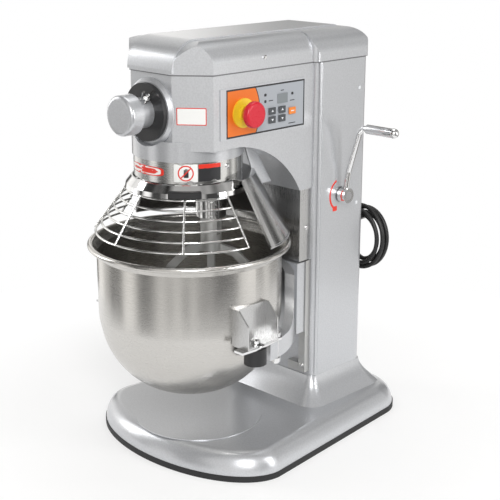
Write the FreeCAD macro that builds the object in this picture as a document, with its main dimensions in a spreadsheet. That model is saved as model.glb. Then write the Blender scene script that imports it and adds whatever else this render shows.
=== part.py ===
import FreeCAD, Part
import math
import os
import Sketcher

# Bench mixer with a planetary head, a lifting bowl and a bowl guard.
# Frame: millimetres, +Z up, front of the machine towards -Y, controls on the +X side.
# The origin is the point on the bench straight below the middle of the bowl.

V = FreeCAD.Vector
UP = V(0, 0, 1)
RIGHT = V(1, 0, 0)
BACK = V(0, 1, 0)
doc = FreeCAD.newDocument("stand_mixer")

SIZES = [
    # base casting and its rubber edge
    ("base_half", 217, "half width of the base at the bench"),
    ("base_front_y", -113, "front end of the base"),
    ("base_mid_y", 7, "where the round front meets the straight sides"),
    ("base_back_y", 420, "back end of the base"),
    ("base_back_half", 180, "half width of the base at its back"),
    ("base_corner", 58, "radius of the back corners"),
    ("rubber_high", 11, "height of the rubber edge"),
    ("plateau_z", 48, "height of the flat top of the base"),
    ("flank_inset", 30, "how far the flank leans in"),
    ("cast_wall", 6, "wall of the castings"),
    # column
    ("column_half", 113.5, "half width of the column"),
    ("column_front_y", 210, "front face of the column"),
    ("column_back_y", 352, "back face of the column"),
    ("column_foot_z", 97, "seam between base saddle and column"),
    ("seam_z", 696, "seam between castings and top cover"),
    ("column_corner", 14, "outer corner radius of the column"),
    ("back_cover_thick", 3, "sheet cover on the back of the column"),
    # head
    ("head_half", 104.5, "half width of the head"),
    ("head_front_y", -82, "front face of the head"),
    ("front_half", 51, "half width of the flat front face"),
    ("chamfer_y", -38.5, "back end of the front chamfers"),
    ("head_under_z", 570, "underside of the head"),
    ("arch_foot_z", 468, "where the side arch meets the column"),
    ("arch_start_y", 40, "where the side arch starts"),
    ("top_z", 752, "top of the cover"),
    ("cover_round", 48, "rounding of the front of the cover"),
    ("band_half", 56, "half width of the raised band of the cover"),
    ("band_step", 3, "how far the band stands up"),
    ("cover_wall", 3, "wall of the cover"),
    # collar and guard ring
    ("collar_out", 97.5, "radius of the painted collar"),
    ("collar_top_z", 585, "top of the painted collar"),
    ("neck_out", 95.4, "radius of the stainless neck ring"),
    ("neck_top_z", 551, "top of the neck ring"),
    ("neck_low_z", 514, "bottom of the neck ring"),
    ("sheet_wall", 1.5, "wall of the stainless sheet pieces"),
    ("guard_top_r", 110, "radius of the guard at its top"),
    ("guard_top_z", 492, "height of the guard's top edge"),
    ("guard_low_r", 165, "radius of the guard's lowest wire"),
    ("guard_low_z", 413.6, "height of the guard's lowest wire"),
    ("wire_r", 1.9, "radius of the guard wires"),
    # bowl
    ("bowl_out", 165, "outer radius of the bowl wall"),
    ("rim_wide", 16, "how far the rim stands out from the wall"),
    ("rim_z", 393, "top of the rim"),
    ("bowl_turn_z", 281, "where the wall starts to turn in"),
    ("bowl_low_z", 110.5, "lowest point of the bowl"),
    ("bowl_wall", 1.6, "wall of the bowl"),
    # lift
    ("yoke_gap", 6, "gap between the bowl wall and the yoke"),
    ("yoke_thick", 17, "thickness of the yoke arms"),
    ("arm_low_z", 207, "underside of the yoke arms"),
    ("arm_high_z", 241, "top of the yoke arms"),
    ("yoke_top_z", 330, "top of the back of the yoke"),
    ("arm_tip_y", 14, "front ends of the yoke arms"),
    ("lift_pitch_r", 18, "pitch radius of the lift pinion"),
    ("crank_y", 280, "crank axis, front to back"),
    ("crank_z", 445, "crank axis height"),
    ("crank_reach", 130, "crank axis to grip axis"),
    # drive
    ("orbit", 56, "main axis to beater axis"),
    ("beater_gap", 15.4, "gap between the beater and the bowl wall"),
    ("gear_module", 4, "module of the drive gears"),
    ("main_teeth", 34, "teeth of the main gear"),
    ("counter_teeth", 20, "teeth of the countershaft pinion"),
    ("ring_teeth", 40, "teeth of the fixed ring gear"),
    ("planet_teeth", 12, "teeth of the planet pinion"),
    ("hub_z", 631.5, "height of the attachment hub"),
    ("motor_y", 281, "motor axis, front to back"),
    ("gap", 0.4, "clearance between pieces that move past each other"),
    ("run_gap", 0.05, "running clearance of shafts, on the radius"),
]

sheet = doc.addObject("Spreadsheet::Sheet", "Sizes")
for row, (alias, value, note) in enumerate(SIZES, start=1):
    sheet.set("A%d" % row, note)
    sheet.set("B%d" % row, str(value))
    sheet.setAlias("B%d" % row, alias)
doc.recompute()
S = {alias: float(sheet.get(alias)) for alias, value, note in SIZES}
RIM_R = S["bowl_out"] + S["rim_wide"]
YOKE_IN = S["bowl_out"] + S["yoke_gap"]

TURNS = {
    "z": FreeCAD.Rotation(),
    "-z": FreeCAD.Rotation(RIGHT, 180),
    "x": FreeCAD.Rotation(BACK, 90),
    "-x": FreeCAD.Rotation(BACK, -90),
    "y": FreeCAD.Rotation(RIGHT, -90),
    "-y": FreeCAD.Rotation(RIGHT, 90),
}
SUBPARTS = []


def sized(text):
    """Puts the sheet's name in front of every alias in an expression."""
    out, word = "", ""
    for sign in str(text) + " ":
        if sign.isalpha() or sign == "_" or (word and sign.isdigit()):
            word += sign
            continue
        out += ("Sizes." + word if word in S else word) + sign
        word = ""
    return out.strip()


def value_of(text):
    """The number that an expression of sizes comes to."""
    total, sign = 0.0, 1.0
    for piece in str(text).replace("-", " - ").replace("+", " + ").split(" "):
        if piece in ("+", "-"):
            sign = sign if piece == "+" else -sign
        elif piece:
            factors = piece.split("*")
            amount = 1.0
            for factor in factors:
                over = factor.split("/")
                amount *= S.get(over[0]) if over[0] in S else float(over[0])
                for under in over[1:]:
                    amount /= S.get(under) if under in S else float(under)
            total += sign * amount
            sign = 1.0
    return total


def bind(obj, **sizes):
    for prop, text in sizes.items():
        obj.setExpression(prop, sized(text))


def place(obj, at, axis="z"):
    obj.Placement = FreeCAD.Placement(V(), TURNS[axis])
    for letter, text in zip("xyz", at):
        obj.setExpression("Placement.Base." + letter, sized(text))


def cylinder(name, radius, length, at, axis="z"):
    obj = doc.addObject("Part::Cylinder", name)
    bind(obj, Radius=radius, Height=length)
    place(obj, at, axis)
    return obj


def box(name, size, at):
    obj = doc.addObject("Part::Box", name)
    bind(obj, Length=size[0], Width=size[1], Height=size[2])
    place(obj, at)
    return obj


def cut(name, base, *tools):
    tool = tools[0] if len(tools) == 1 else fuse(name + "_tools", *tools)
    obj = doc.addObject("Part::Cut", name)
    obj.Base = base
    obj.Tool = tool
    return obj


def fuse(name, *pieces):
    obj = doc.addObject("Part::MultiFuse", name)
    obj.Shapes = list(pieces)
    return obj


def stepped(at, axis, distance):
    """A place moved along an axis by an expression."""
    letter = axis[-1]
    sign = " - " if axis.startswith("-") else " + "
    return tuple(text + sign + distance if letter == key else text for key, text in zip("xyz", at))


def tube(name, outer, inner, length, at, axis="z"):
    """A ring or sleeve: one cylinder less another that runs 1 mm past both ends."""
    before = stepped(at, "-" + axis if len(axis) == 1 else axis[-1], "1")
    return cut(name, cylinder(name + "_outer", outer, length, at, axis),
               cylinder(name + "_bore", inner, length + " + 2", before, axis))


def feature(name, shape):
    obj = doc.addObject("Part::Feature", name)
    obj.Shape = shape
    return obj


def subpart(label, obj):
    obj.Label = label
    SUBPARTS.append((label, obj))
    return obj


def sketch_on(body, role, points, name):
    """A closed outline whose corners are held by two bound distances each."""
    sketch = body.newObject("Sketcher::SketchObject", name)
    plane = [item for item in body.Origin.OriginFeatures if item.Role == role][0]
    sketch.AttachmentSupport = [(plane, "")]
    sketch.MapMode = "FlatFace"
    corners = [(value_of(across), value_of(up)) for across, up in points]
    count = len(corners)
    for index in range(count):
        start, end = corners[index], corners[(index + 1) % count]
        sketch.addGeometry(Part.LineSegment(V(start[0], start[1], 0), V(end[0], end[1], 0)))
    for index in range(count):
        sketch.addConstraint(Sketcher.Constraint("Coincident", index, 2, (index + 1) % count, 1))
    for index in range(count):
        for which, kind in enumerate(("DistanceX", "DistanceY")):
            number = sketch.addConstraint(
                Sketcher.Constraint(kind, -1, 1, index, 1, corners[index][which]))
            label = "xy"[which] + str(index)
            sketch.renameConstraint(number, label)
            sketch.setExpression("Constraints." + label, sized(points[index][which]))
    return sketch


def turned(name, points):
    """A body turned about the vertical axis from a half outline of (radius, height)."""
    body = doc.addObject("PartDesign::Body", name)
    sketch = sketch_on(body, "XZ_Plane", points, name + "_outline")
    solid = body.newObject("PartDesign::Revolution", name + "_turned")
    solid.Profile = sketch
    solid.ReferenceAxis = (sketch, ["V_Axis"])
    solid.Angle = 360
    return body


def padded_out(name, role, points, length):
    """A body padded from an outline on one of its origin planes."""
    body = doc.addObject("PartDesign::Body", name)
    sketch = sketch_on(body, role, points, name + "_outline")
    pad = body.newObject("PartDesign::Pad", name + "_pad")
    pad.Profile = sketch
    pad.setExpression("Length", sized(length))
    return body


def chamfered(body, size):
    """Breaks every edge of a body's last solid."""
    doc.recompute()
    tip = body.Tip
    edges = ["Edge%d" % (index + 1) for index in range(len(tip.Shape.Edges))]
    bevel = body.newObject("PartDesign::Chamfer", body.Name + "_chamfer")
    bevel.Base = (tip, edges)
    bevel.Size = size
    body.Tip = bevel
    return body


def face_of(points, plane="xy", level=0.0):
    """A flat face with straight sides, in a plane square to an axis."""
    if plane == "xy":
        corners = [V(a, b, level) for a, b in points]
    elif plane == "yz":
        corners = [V(level, a, b) for a, b in points]
    else:
        corners = [V(a, level, b) for a, b in points]
    return Part.Face(Part.makePolygon(corners + corners[:1]))


def rod(points, radius):
    """A round bar through a few corners, with a ball at each inner corner."""
    pieces = []
    for start, end in zip(points, points[1:]):
        pieces.append(Part.makeCylinder(radius, (end - start).Length, start, end - start))
    for middle in points[1:-1]:
        pieces.append(Part.makeSphere(radius, middle))
    return pieces[0].multiFuse(pieces[1:]).removeSplitter() if len(pieces) > 1 else pieces[0]


def polar(radius, degrees, height):
    angle = math.radians(degrees)
    return V(radius * math.cos(angle), radius * math.sin(angle), height)


def gear(teeth, module, thick, at, bore=0.0, inner=False):
    """A spur gear with straight-sided teeth and room between them."""
    pitch = teeth * module / 2.0
    high = pitch - 0.6 * module if inner else pitch + 0.6 * module
    low = pitch + 0.85 * module if inner else pitch - 0.85 * module
    step = 2 * math.pi / teeth
    points = []
    for index in range(teeth):
        middle = (index + (0.5 if inner else 0.0)) * step
        for radius, share in ((low, -0.30), (high, -0.12), (high, 0.12), (low, 0.30)):
            angle = middle + share * step
            points.append((radius * math.cos(angle), radius * math.sin(angle)))
    outline = face_of(points)
    if inner:
        disc = Part.Face(Part.Wire(Part.makeCircle(bore)))
        outline = disc.cut(outline)
    elif bore:
        outline = outline.cut(Part.Face(Part.Wire(Part.makeCircle(bore))))
    solid = outline.extrude(V(0, 0, thick)).Solids[0]
    solid.translate(at)
    return solid


# ---- Base ----

def base_outline(inset, z):
    """Half an ellipse in front, straight sides that draw in, and a round-cornered back."""
    half = S["base_half"] - inset
    front = S["base_mid_y"] - S["base_front_y"] - inset
    mid = S["base_mid_y"]
    back = S["base_back_y"] - inset
    back_half = S["base_back_half"] - inset
    corner = max(S["base_corner"] - inset / 2, 8)
    ellipse = Part.Ellipse(V(half, mid, z), V(0, mid - front, z), V(0, mid, z))
    nose = Part.ArcOfEllipse(ellipse, 0, math.pi).toShape()
    tilt = math.atan2(half - back_half, back - mid)
    lean = corner * math.tan((math.pi / 2 + tilt) / 2)
    edges = [nose]
    side_end = {}
    for sign in (1, -1):
        top = V(sign * back_half, back, z)
        on_side = top + V(sign * math.sin(tilt), -math.cos(tilt), 0) * lean
        on_back = top - V(sign * lean, 0, 0)
        centre = V(sign * (back_half - lean), back - corner, z)
        outward = (top - centre)
        outward.normalize()
        bend = centre + outward * corner
        edges.append(Part.makeLine(V(sign * half, mid, z), on_side))
        edges.append(Part.Arc(on_side, bend, on_back).toShape())
        side_end[sign] = on_back
    edges.append(Part.makeLine(side_end[1], side_end[-1]))
    return Part.Wire(Part.__sortEdges__(edges))


def rounded_rectangle(half, front, back, corner, z):
    """A rectangle in plan with four round corners, as eight edges."""
    points = [(half, front, -1, 1), (half, back, -1, -1), (-half, back, 1, -1), (-half, front, 1, 1)]
    edges = []
    ends = []
    for x, y, into_x, into_y in points:
        centre = V(x + into_x * corner, y + into_y * corner, z)
        along_y = V(x, centre.y, z)
        along_x = V(centre.x, y, z)
        middle = centre + V(-into_x, -into_y, 0) * (corner / math.sqrt(2))
        first, last = (along_x, along_y) if into_x * into_y < 0 else (along_y, along_x)
        edges.append(Part.Arc(first, middle, last).toShape())
        ends.append((first, last))
    for index in range(4):
        edges.append(Part.makeLine(ends[index][1], ends[(index + 1) % 4][0]))
    return Part.Wire(Part.__sortEdges__(edges))


def base_shell(inset, lift):
    """The flank and top of the base, drawn in by a wall and lowered by it."""
    high = S["plateau_z"] - S["rubber_high"]
    steps = [(0.0, 0.0), (0.10, 0.36), (0.34, 0.72), (0.66, 0.93), (1.0, 1.0)]
    sections = []
    for lean, rise in steps:
        sections.append(base_outline(inset + S["flank_inset"] * lean,
                                     S["rubber_high"] + high * rise - lift))
    return Part.makeLoft(sections, True, False)


def saddle(wall):
    """The rise from the base's flat top to the foot of the column."""
    low = S["plateau_z"] - 8
    rise = S["column_foot_z"] - low
    shape = []
    for share, spread in ((0.0, 44), (0.35, 24), (0.7, 7), (1.0, 0)):
        shape.append(rounded_rectangle(
            S["column_half"] - wall + spread * 0.9,
            S["column_front_y"] - 2 + wall - spread * 0.9,
            S["column_back_y"] + 4 - wall + spread,
            S["column_corner"] + spread * 0.6 - wall * 0.5,
            low + rise * share))
    return Part.makeLoft(shape, True, False)


def base_casting():
    pad = Part.makeCylinder(118, 1.6, V(0, 18, S["plateau_z"] - 0.1))
    outer = base_shell(0, 0).fuse([saddle(0), pad])
    wall = S["cast_wall"]
    hollow = base_shell(wall, wall)
    floor = hollow.BoundBox.ZMin
    skirt = Part.Face(base_outline(wall, floor - 5)).extrude(V(0, 0, 6))
    shaft = saddle(wall)
    casting = outer.cut(hollow).cut(skirt).cut(shaft)
    return casting


subpart("base_casting", feature("BaseCasting", base_casting()))


def rubber_edge():
    """A strip under the base's edge, with a lip that stands out a little."""
    lip = 1.2
    outer = Part.Face(base_outline(-lip, 0)).extrude(V(0, 0, S["rubber_high"]))
    inner = Part.Face(base_outline(14, -1)).extrude(V(0, 0, S["rubber_high"] + 2))
    return outer.cut(inner)


subpart("rubber_edge", feature("RubberEdge", rubber_edge()))


# ---- Column ----

def prism(half, front, back, corner, low, high):
    return Part.Face(rounded_rectangle(half, front, back, corner, low)).extrude(V(0, 0, high - low))


BELT_LOW = 640
BELT_WINDOW = 78
SLOT_HALF = 26
SLOT_LOW = 215
SLOT_HIGH = 345
CRANK_BUSH_R = 15


def column_casting():
    wall = S["cast_wall"] + 1
    half, front, back = S["column_half"], S["column_front_y"], S["column_back_y"]
    low, high = S["column_foot_z"] + 0.2, S["seam_z"]
    body = prism(half, front, back, S["column_corner"], low, high)
    hollow = prism(half - wall, front + wall, back - wall, S["column_corner"] - 5, low - 1, high + 1)
    rear = prism(half - 16, back - 20, back + 20, 6, low + 22, high - 14)
    belt = Part.makeBox(2 * BELT_WINDOW, 20, high, V(-BELT_WINDOW, front - 6, BELT_LOW))
    slot = Part.makeBox(2 * SLOT_HALF, 20, SLOT_HIGH - SLOT_LOW, V(-SLOT_HALF, front - 6, SLOT_LOW))
    bush = Part.makeCylinder(CRANK_BUSH_R, 40, V(half - 20, S["crank_y"], S["crank_z"]), RIGHT)
    return body.cut(hollow).cut(rear).cut(belt).cut(slot).cut(bush)


subpart("column_casting", feature("ColumnCasting", column_casting()))

back_plate = box("BackCoverPlate", ("2*column_half - 20", "back_cover_thick", "seam_z - column_foot_z - 12"),
                 ("10 - column_half", "column_back_y", "column_foot_z + 8"))
subpart("back_cover", back_plate)


# ---- Head ----

def head_plan(inset, low, high):
    """The head in plan: a flat face, two chamfers and straight sides."""
    half, front = S["head_half"] - inset, S["head_front_y"] + inset
    nose = S["front_half"] - inset * 0.45
    chamfer = S["chamfer_y"] + inset * 0.5
    back = S["column_front_y"]
    points = [(-nose, front), (nose, front), (half, chamfer), (half, back), (-half, back), (-half, chamfer)]
    return face_of(points, "xy", low).extrude(V(0, 0, high - low))


def head_side(inset, reach):
    """The head seen from the side, with the arch that runs down to the column."""
    under, foot = S["head_under_z"] + inset, S["arch_foot_z"] + inset
    back, front, seam = S["column_front_y"], S["head_front_y"] - 20, S["seam_z"]
    start = S["arch_start_y"] - 18
    middle = V(-reach, start + 87 + inset * 0.5, under - 30 + inset * 0.2)
    end = V(-reach, start + 154 + inset, foot)
    corners = [V(-reach, front, under), V(-reach, start, under), end, V(-reach, back, foot),
               V(-reach, back, seam), V(-reach, front, seam)]
    edges = [Part.makeLine(corners[0], corners[1]), Part.Arc(corners[1], middle, end).toShape()]
    for first, last in zip(corners[2:], corners[3:] + corners[:1]):
        edges.append(Part.makeLine(first, last))
    return Part.Face(Part.Wire(edges)).extrude(V(2 * reach, 0, 0))


SPINDLE_R = 12
BEARING_R = 30
HUB_SOCKET_R = 30
HUB_FLANGE_R = 57


def head_casting():
    wall = S["cast_wall"]
    reach = S["head_half"]
    outer = head_plan(0, 300, S["seam_z"]).common(head_side(0, reach))
    collar = Part.makeCylinder(S["collar_out"], S["collar_top_z"] - S["neck_top_z"], V(0, 0, S["neck_top_z"]))
    hollow = head_plan(wall, 300, S["seam_z"] + 1).common(head_side(wall, reach))
    hollow = hollow.fuse(head_plan(wall, S["seam_z"] - 1, S["seam_z"] + 1))
    recess = Part.makeCylinder(S["collar_out"] - wall, S["head_under_z"] - S["neck_top_z"] + 1,
                               V(0, 0, S["neck_top_z"] - 1))
    spindle = Part.makeCylinder(BEARING_R, 60, V(0, 0, S["neck_top_z"]))
    collar_room = Part.makeCylinder(S["collar_out"] - wall, 40, V(0, 0, S["head_under_z"] + wall))
    collar_room = collar_room.common(head_plan(wall, S["head_under_z"], S["seam_z"]))
    socket = Part.makeCylinder(HUB_SOCKET_R, 60, V(0, S["head_front_y"] - 20, S["hub_z"]), BACK)
    ring_room = Part.makeCylinder(S["collar_out"], 60, V(0, 0, S["neck_top_z"] - 60))
    flange_room = Part.makeCylinder(HUB_FLANGE_R + 0.3, 40, V(0, S["head_front_y"] - 40, S["hub_z"]), BACK)
    body = outer.cut(ring_room).fuse(collar).cut(hollow).cut(recess).cut(collar_room).cut(spindle)
    body = body.cut(socket).cut(flange_room)
    return body.removeSplitter()


subpart("head_casting", feature("HeadCasting", head_casting()))


def cover_side(top, back, round_front, round_back, low, reach):
    """The cover from the side: a large round at the front, a smaller one at the back."""
    front = S["head_front_y"] - 3.5
    a, b = V(-reach, front, low), V(-reach, front, top - round_front)
    c, d = V(-reach, front + round_front * 1.15, top), V(-reach, back - round_back, top)
    e, f = V(-reach, back, top - round_back), V(-reach, back, low)
    bend = 1 - 1 / math.sqrt(2)
    front_mid = V(-reach, front + round_front * 1.15 * bend, top - round_front * bend)
    back_mid = V(-reach, back - round_back * bend, top - round_back * bend)
    edges = [Part.makeLine(a, b), Part.Arc(b, front_mid, c).toShape(), Part.makeLine(c, d),
             Part.Arc(d, back_mid, e).toShape(), Part.makeLine(e, f), Part.makeLine(f, a)]
    return Part.Face(Part.Wire(edges)).extrude(V(2 * reach, 0, 0))


def cover_across(half, top, low, side_round, front, back):
    """The cover from the front: straight sides with a large round into a flat top."""
    bend = 1 - 1 / math.sqrt(2)
    a, b = V(-half, front, low), V(-half, front, top - side_round)
    c, d = V(-half + side_round * 1.25, front, top), V(half - side_round * 1.25, front, top)
    e, f = V(half, front, top - side_round), V(half, front, low)
    left = V(-half + side_round * 1.25 * bend, front, top - side_round * bend)
    right = V(half - side_round * 1.25 * bend, front, top - side_round * bend)
    edges = [Part.makeLine(a, b), Part.Arc(b, left, c).toShape(), Part.makeLine(c, d),
             Part.Arc(d, right, e).toShape(), Part.makeLine(e, f), Part.makeLine(f, a)]
    return Part.Face(Part.Wire(edges)).extrude(V(0, back - front, 0))


def cover_body(inset, low):
    """Head part, wider column part and the raised band, drawn in by a wall."""
    top, step = S["top_z"] - inset, S["band_step"]
    front, back = S["head_front_y"] - 3.5, S["column_back_y"] + 3
    half, wide = S["head_half"] + 0.5 - inset, S["column_half"] + 0.5 - inset
    nose, chamfer = S["front_half"] - inset * 0.45, S["chamfer_y"] + inset * 0.5
    joint = S["column_front_y"] - 6
    reach = wide + 20
    side = cover_side(top - step, back - inset, S["cover_round"], 30, low, reach)
    if inset:
        side = side.cut(Part.makeBox(400, inset, 400, V(-200, front, low - 100)))
    plan = [(-nose, front), (nose, front), (half, chamfer), (half, back), (-half, back), (-half, chamfer)]
    head = face_of(plan, "xy", low).extrude(V(0, 0, 200))
    head = head.common(cover_across(half, top - step, low, 34, front, back))
    tail = prism(wide, joint + inset, back - inset, S["column_corner"] - 2, low, top)
    tail = tail.common(cover_across(wide, top - step, low, 38, front, back))
    shell = head.fuse(tail).common(side)
    if not inset:
        band = cover_side(top, back - 12, S["cover_round"], 30, low + 3, S["band_half"])
        shell = shell.fuse(band)
    return shell


def top_cover():
    wall, seam = S["cover_wall"], S["seam_z"] + 0.2
    outer = cover_body(0, seam)
    inner = cover_body(wall, seam - 1)
    return outer.cut(inner).removeSplitter()


subpart("top_cover", feature("TopCover", top_cover()))

# ---- Neck ring, guard ring and shield ----
subpart("neck_ring", tube("NeckRing", "neck_out", "neck_out - sheet_wall", "neck_top_z - neck_low_z",
                          ("0", "0", "neck_low_z")))
GUARD_RING = [
    ("neck_out - 1.5", "neck_low_z - 8.5"), ("neck_out + 2.6", "neck_low_z - 0.5"),
    ("neck_out + 4.6", "neck_low_z - 1.5"), ("guard_top_r", "guard_top_z + 8"),
    ("guard_top_r + 1.5", "guard_top_z"), ("guard_top_r - 1", "guard_top_z"),
    ("guard_top_r - 2.5", "guard_top_z + 7"), ("neck_out + 1", "neck_low_z - 4")]
subpart("guard_ring", turned("GuardRing", GUARD_RING))


def cone_shell(top_r, top_z, low_r, low_z, wall, start, end):
    """Part of a sheet cone between two polar angles."""
    points = [V(top_r, 0, top_z), V(low_r, 0, low_z), V(low_r - wall, 0, low_z), V(top_r - wall, 0, top_z)]
    face = Part.Face(Part.makePolygon(points + points[:1]))
    face.rotate(V(), UP, start)
    return face.revolve(V(), UP, end - start)


SHIELD_START, SHIELD_END = 8, 172
CAGE_START, CAGE_END = 186, 354
SHIELD_OUT = 7


def splash_shield():
    """A solid sheet cone behind the wire guard, with a folded edge at each end and a hem."""
    wall = S["sheet_wall"]
    top_r, top_z = S["guard_top_r"] + SHIELD_OUT, S["neck_low_z"] + wall
    low_r, low_z = S["guard_low_r"] + SHIELD_OUT + 5, S["guard_low_z"] - 8
    sheet_part = cone_shell(top_r, top_z, low_r, low_z, wall, SHIELD_START, SHIELD_END)
    lip = Part.makeCylinder(top_r, wall, V(0, 0, top_z - wall), UP, SHIELD_END - SHIELD_START)
    hole = Part.makeCylinder(S["neck_out"], wall * 3, V(0, 0, top_z - 2 * wall))
    lip.rotate(V(), UP, SHIELD_START)
    hem = Part.makeTorus(low_r - 0.8, 2.2, V(0, 0, low_z), UP, 0, 360, SHIELD_END - SHIELD_START)
    hem.rotate(V(), UP, SHIELD_START)
    folds = []
    for angle, turn in ((SHIELD_START, 1), (SHIELD_END, -1)):
        fold = cone_shell(top_r + 3.5, top_z - 4, low_r + 3.5, low_z + 2, 4.6, 0, 3.5)
        fold.rotate(V(), UP, angle if turn > 0 else angle - 3.5)
        folds.append(fold)
    return sheet_part.multiFuse([lip.cut(hole), hem] + folds).removeSplitter()


subpart("splash_shield", feature("SplashShield", splash_shield()))


def wire_guard():
    """Rings of wire that grow downwards, straight ribs over them and two end bars."""
    wire = S["wire_r"]
    top_r, top_z = S["guard_top_r"] - 1, S["guard_top_z"] - 3
    low_r, low_z = S["guard_low_r"], S["guard_low_z"]
    rings = 6
    span = CAGE_END - CAGE_START
    pieces = []
    for index in range(rings):
        share = index / (rings - 1.0)
        ring = Part.makeTorus(top_r + (low_r - top_r) * share, wire,
                              V(0, 0, top_z + (low_z - top_z) * share), UP, 0, 360, span)
        ring.rotate(V(), UP, CAGE_START)
        pieces.append(ring)
    grow = (low_r - top_r) / (top_z - low_z)
    rise = 5
    for angle in (CAGE_START, 224, 269, 314, CAGE_END):
        top = polar(top_r + 1.3 * wire - grow * rise, angle, top_z + rise)
        low = polar(low_r + 1.3 * wire, angle, low_z)
        pieces.append(Part.makeCylinder(wire, (low - top).Length, top, low - top))
    cage = pieces[0].multiFuse(pieces[1:])
    collar = Part.makeCylinder(S["guard_top_r"] + 6, 30, V(0, 0, S["guard_top_z"]))
    return cage.cut(collar)


subpart("wire_guard", feature("WireGuard", wire_guard()))
GRIP_MIDDLE, GRIP_SPAN, GRIP_THICK, GRIP_HIGH = -46, 28, 6, 12


def guard_grip():
    """A curved bar on the outside of the guard ring, to swing the guard by."""
    inner, low, lift = S["guard_top_r"] + 0.8, S["guard_top_z"] + 1, 1.5
    outer = inner + GRIP_THICK
    profile = [(inner, low), (outer - lift, low), (outer, low + lift), (outer, low + GRIP_HIGH - lift),
               (outer - lift, low + GRIP_HIGH), (inner - GRIP_THICK, low + GRIP_HIGH),
               (inner - GRIP_THICK, low + GRIP_HIGH - 2), (inner - 1.3, low + 7)]
    bar = face_of(profile, "xz").revolve(V(), UP, GRIP_SPAN)
    bar.rotate(V(), UP, GRIP_MIDDLE - GRIP_SPAN / 2)
    return bar


subpart("guard_grip", cut("GuardGrip", feature("GuardGripBar", guard_grip()), doc.getObject("GuardRing")))

# ---- Bowl ----

def bowl_half(inset):
    """A smooth half outline from the bottom of the bowl to its turn."""
    turn, low = S["bowl_turn_z"], S["bowl_low_z"] + inset
    points = [V(0, 0, low)]
    for index in range(1, 10):
        angle = math.pi / 2 * (1 - index / 9.0)
        reach = math.cos(angle) ** (2 / 2.2) * (S["bowl_out"] - inset)
        points.append(V(reach, 0, turn - (turn - low) * math.sin(angle) ** (2 / 2.2)))
    curve = Part.BSplineCurve()
    curve.interpolate(points, InitialTangent=V(1, 0, 0), FinalTangent=V(0, 0, 1))
    return curve.toShape(), points[0], points[-1]


def bowl():
    """Spun sheet with a rolled rim."""
    wall = S["bowl_wall"]
    rim_z = S["rim_z"]
    outer, outer_low, outer_top = bowl_half(0)
    inner, inner_low, inner_top = bowl_half(wall)
    flare = rim_z - 14
    out_side = [outer_top, V(S["bowl_out"], 0, flare - 6), V(RIM_R - 7, 0, rim_z - 4)]
    in_side = [inner_top, V(S["bowl_out"] - wall, 0, flare - 6), V(RIM_R - 7, 0, rim_z - 4 + 1.9)]
    edges = [outer, Part.makeLine(out_side[0], out_side[1]), Part.makeLine(out_side[1], out_side[2]),
             Part.makeLine(out_side[2], in_side[2]), Part.makeLine(in_side[2], in_side[1]),
             Part.makeLine(in_side[1], in_side[0]), inner, Part.makeLine(inner_low, outer_low)]
    shell = Part.Face(Part.Wire(Part.__sortEdges__(edges))).revolve(V(), UP, 360)
    roll = Part.makeTorus(RIM_R - 5, 5, V(0, 0, rim_z - 5))
    return shell.fuse(roll).removeSplitter()


subpart("bowl", feature("Bowl", bowl()))


EAR_LOW, EAR_HIGH = 245.6, 312
CLAMP_X, CLAMP_Y = YOKE_IN + 11, -18


def bowl_ear(side):
    """A bent sheet bracket: a wall plate against the bowl, a flat foot with a slot and two webs."""
    face = S["bowl_out"] + 0.2
    foot_out, sheet_thick = YOKE_IN + 25, 3
    back, front, inner = 24, -50, face - 15.2
    outline = [(inner, EAR_HIGH), (face + 8, EAR_HIGH), (foot_out, EAR_HIGH - 24),
               (foot_out, EAR_LOW), (inner, EAR_LOW)]
    block = face_of(outline, "xz", front).extrude(V(0, back - front, 0))
    room = Part.makeBox(80, back - front - 2 * sheet_thick, 100,
                        V(face + sheet_thick, front + sheet_thick, EAR_LOW + sheet_thick))
    inside = Part.makeCylinder(face, 200, V(0, 0, 200))
    slot = Part.makeBox(40, 14, 20, V(CLAMP_X, CLAMP_Y - 7, EAR_LOW - 5))
    hole = Part.makeCylinder(7, 20, V(CLAMP_X, CLAMP_Y, EAR_LOW - 5))
    bracket = block.cut(room).cut(inside).cut(slot).cut(hole).removeSplitter()
    return bracket if side > 0 else bracket.mirror(V(), RIGHT)


subpart("bowl_ears", feature("BowlEars", Part.makeCompound([bowl_ear(1), bowl_ear(-1)])))

# ---- Lift ----
BOLT_Y = 36
RAIL_IN, RAIL_OUT, RAIL_FRONT = 88, 104, 197


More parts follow.
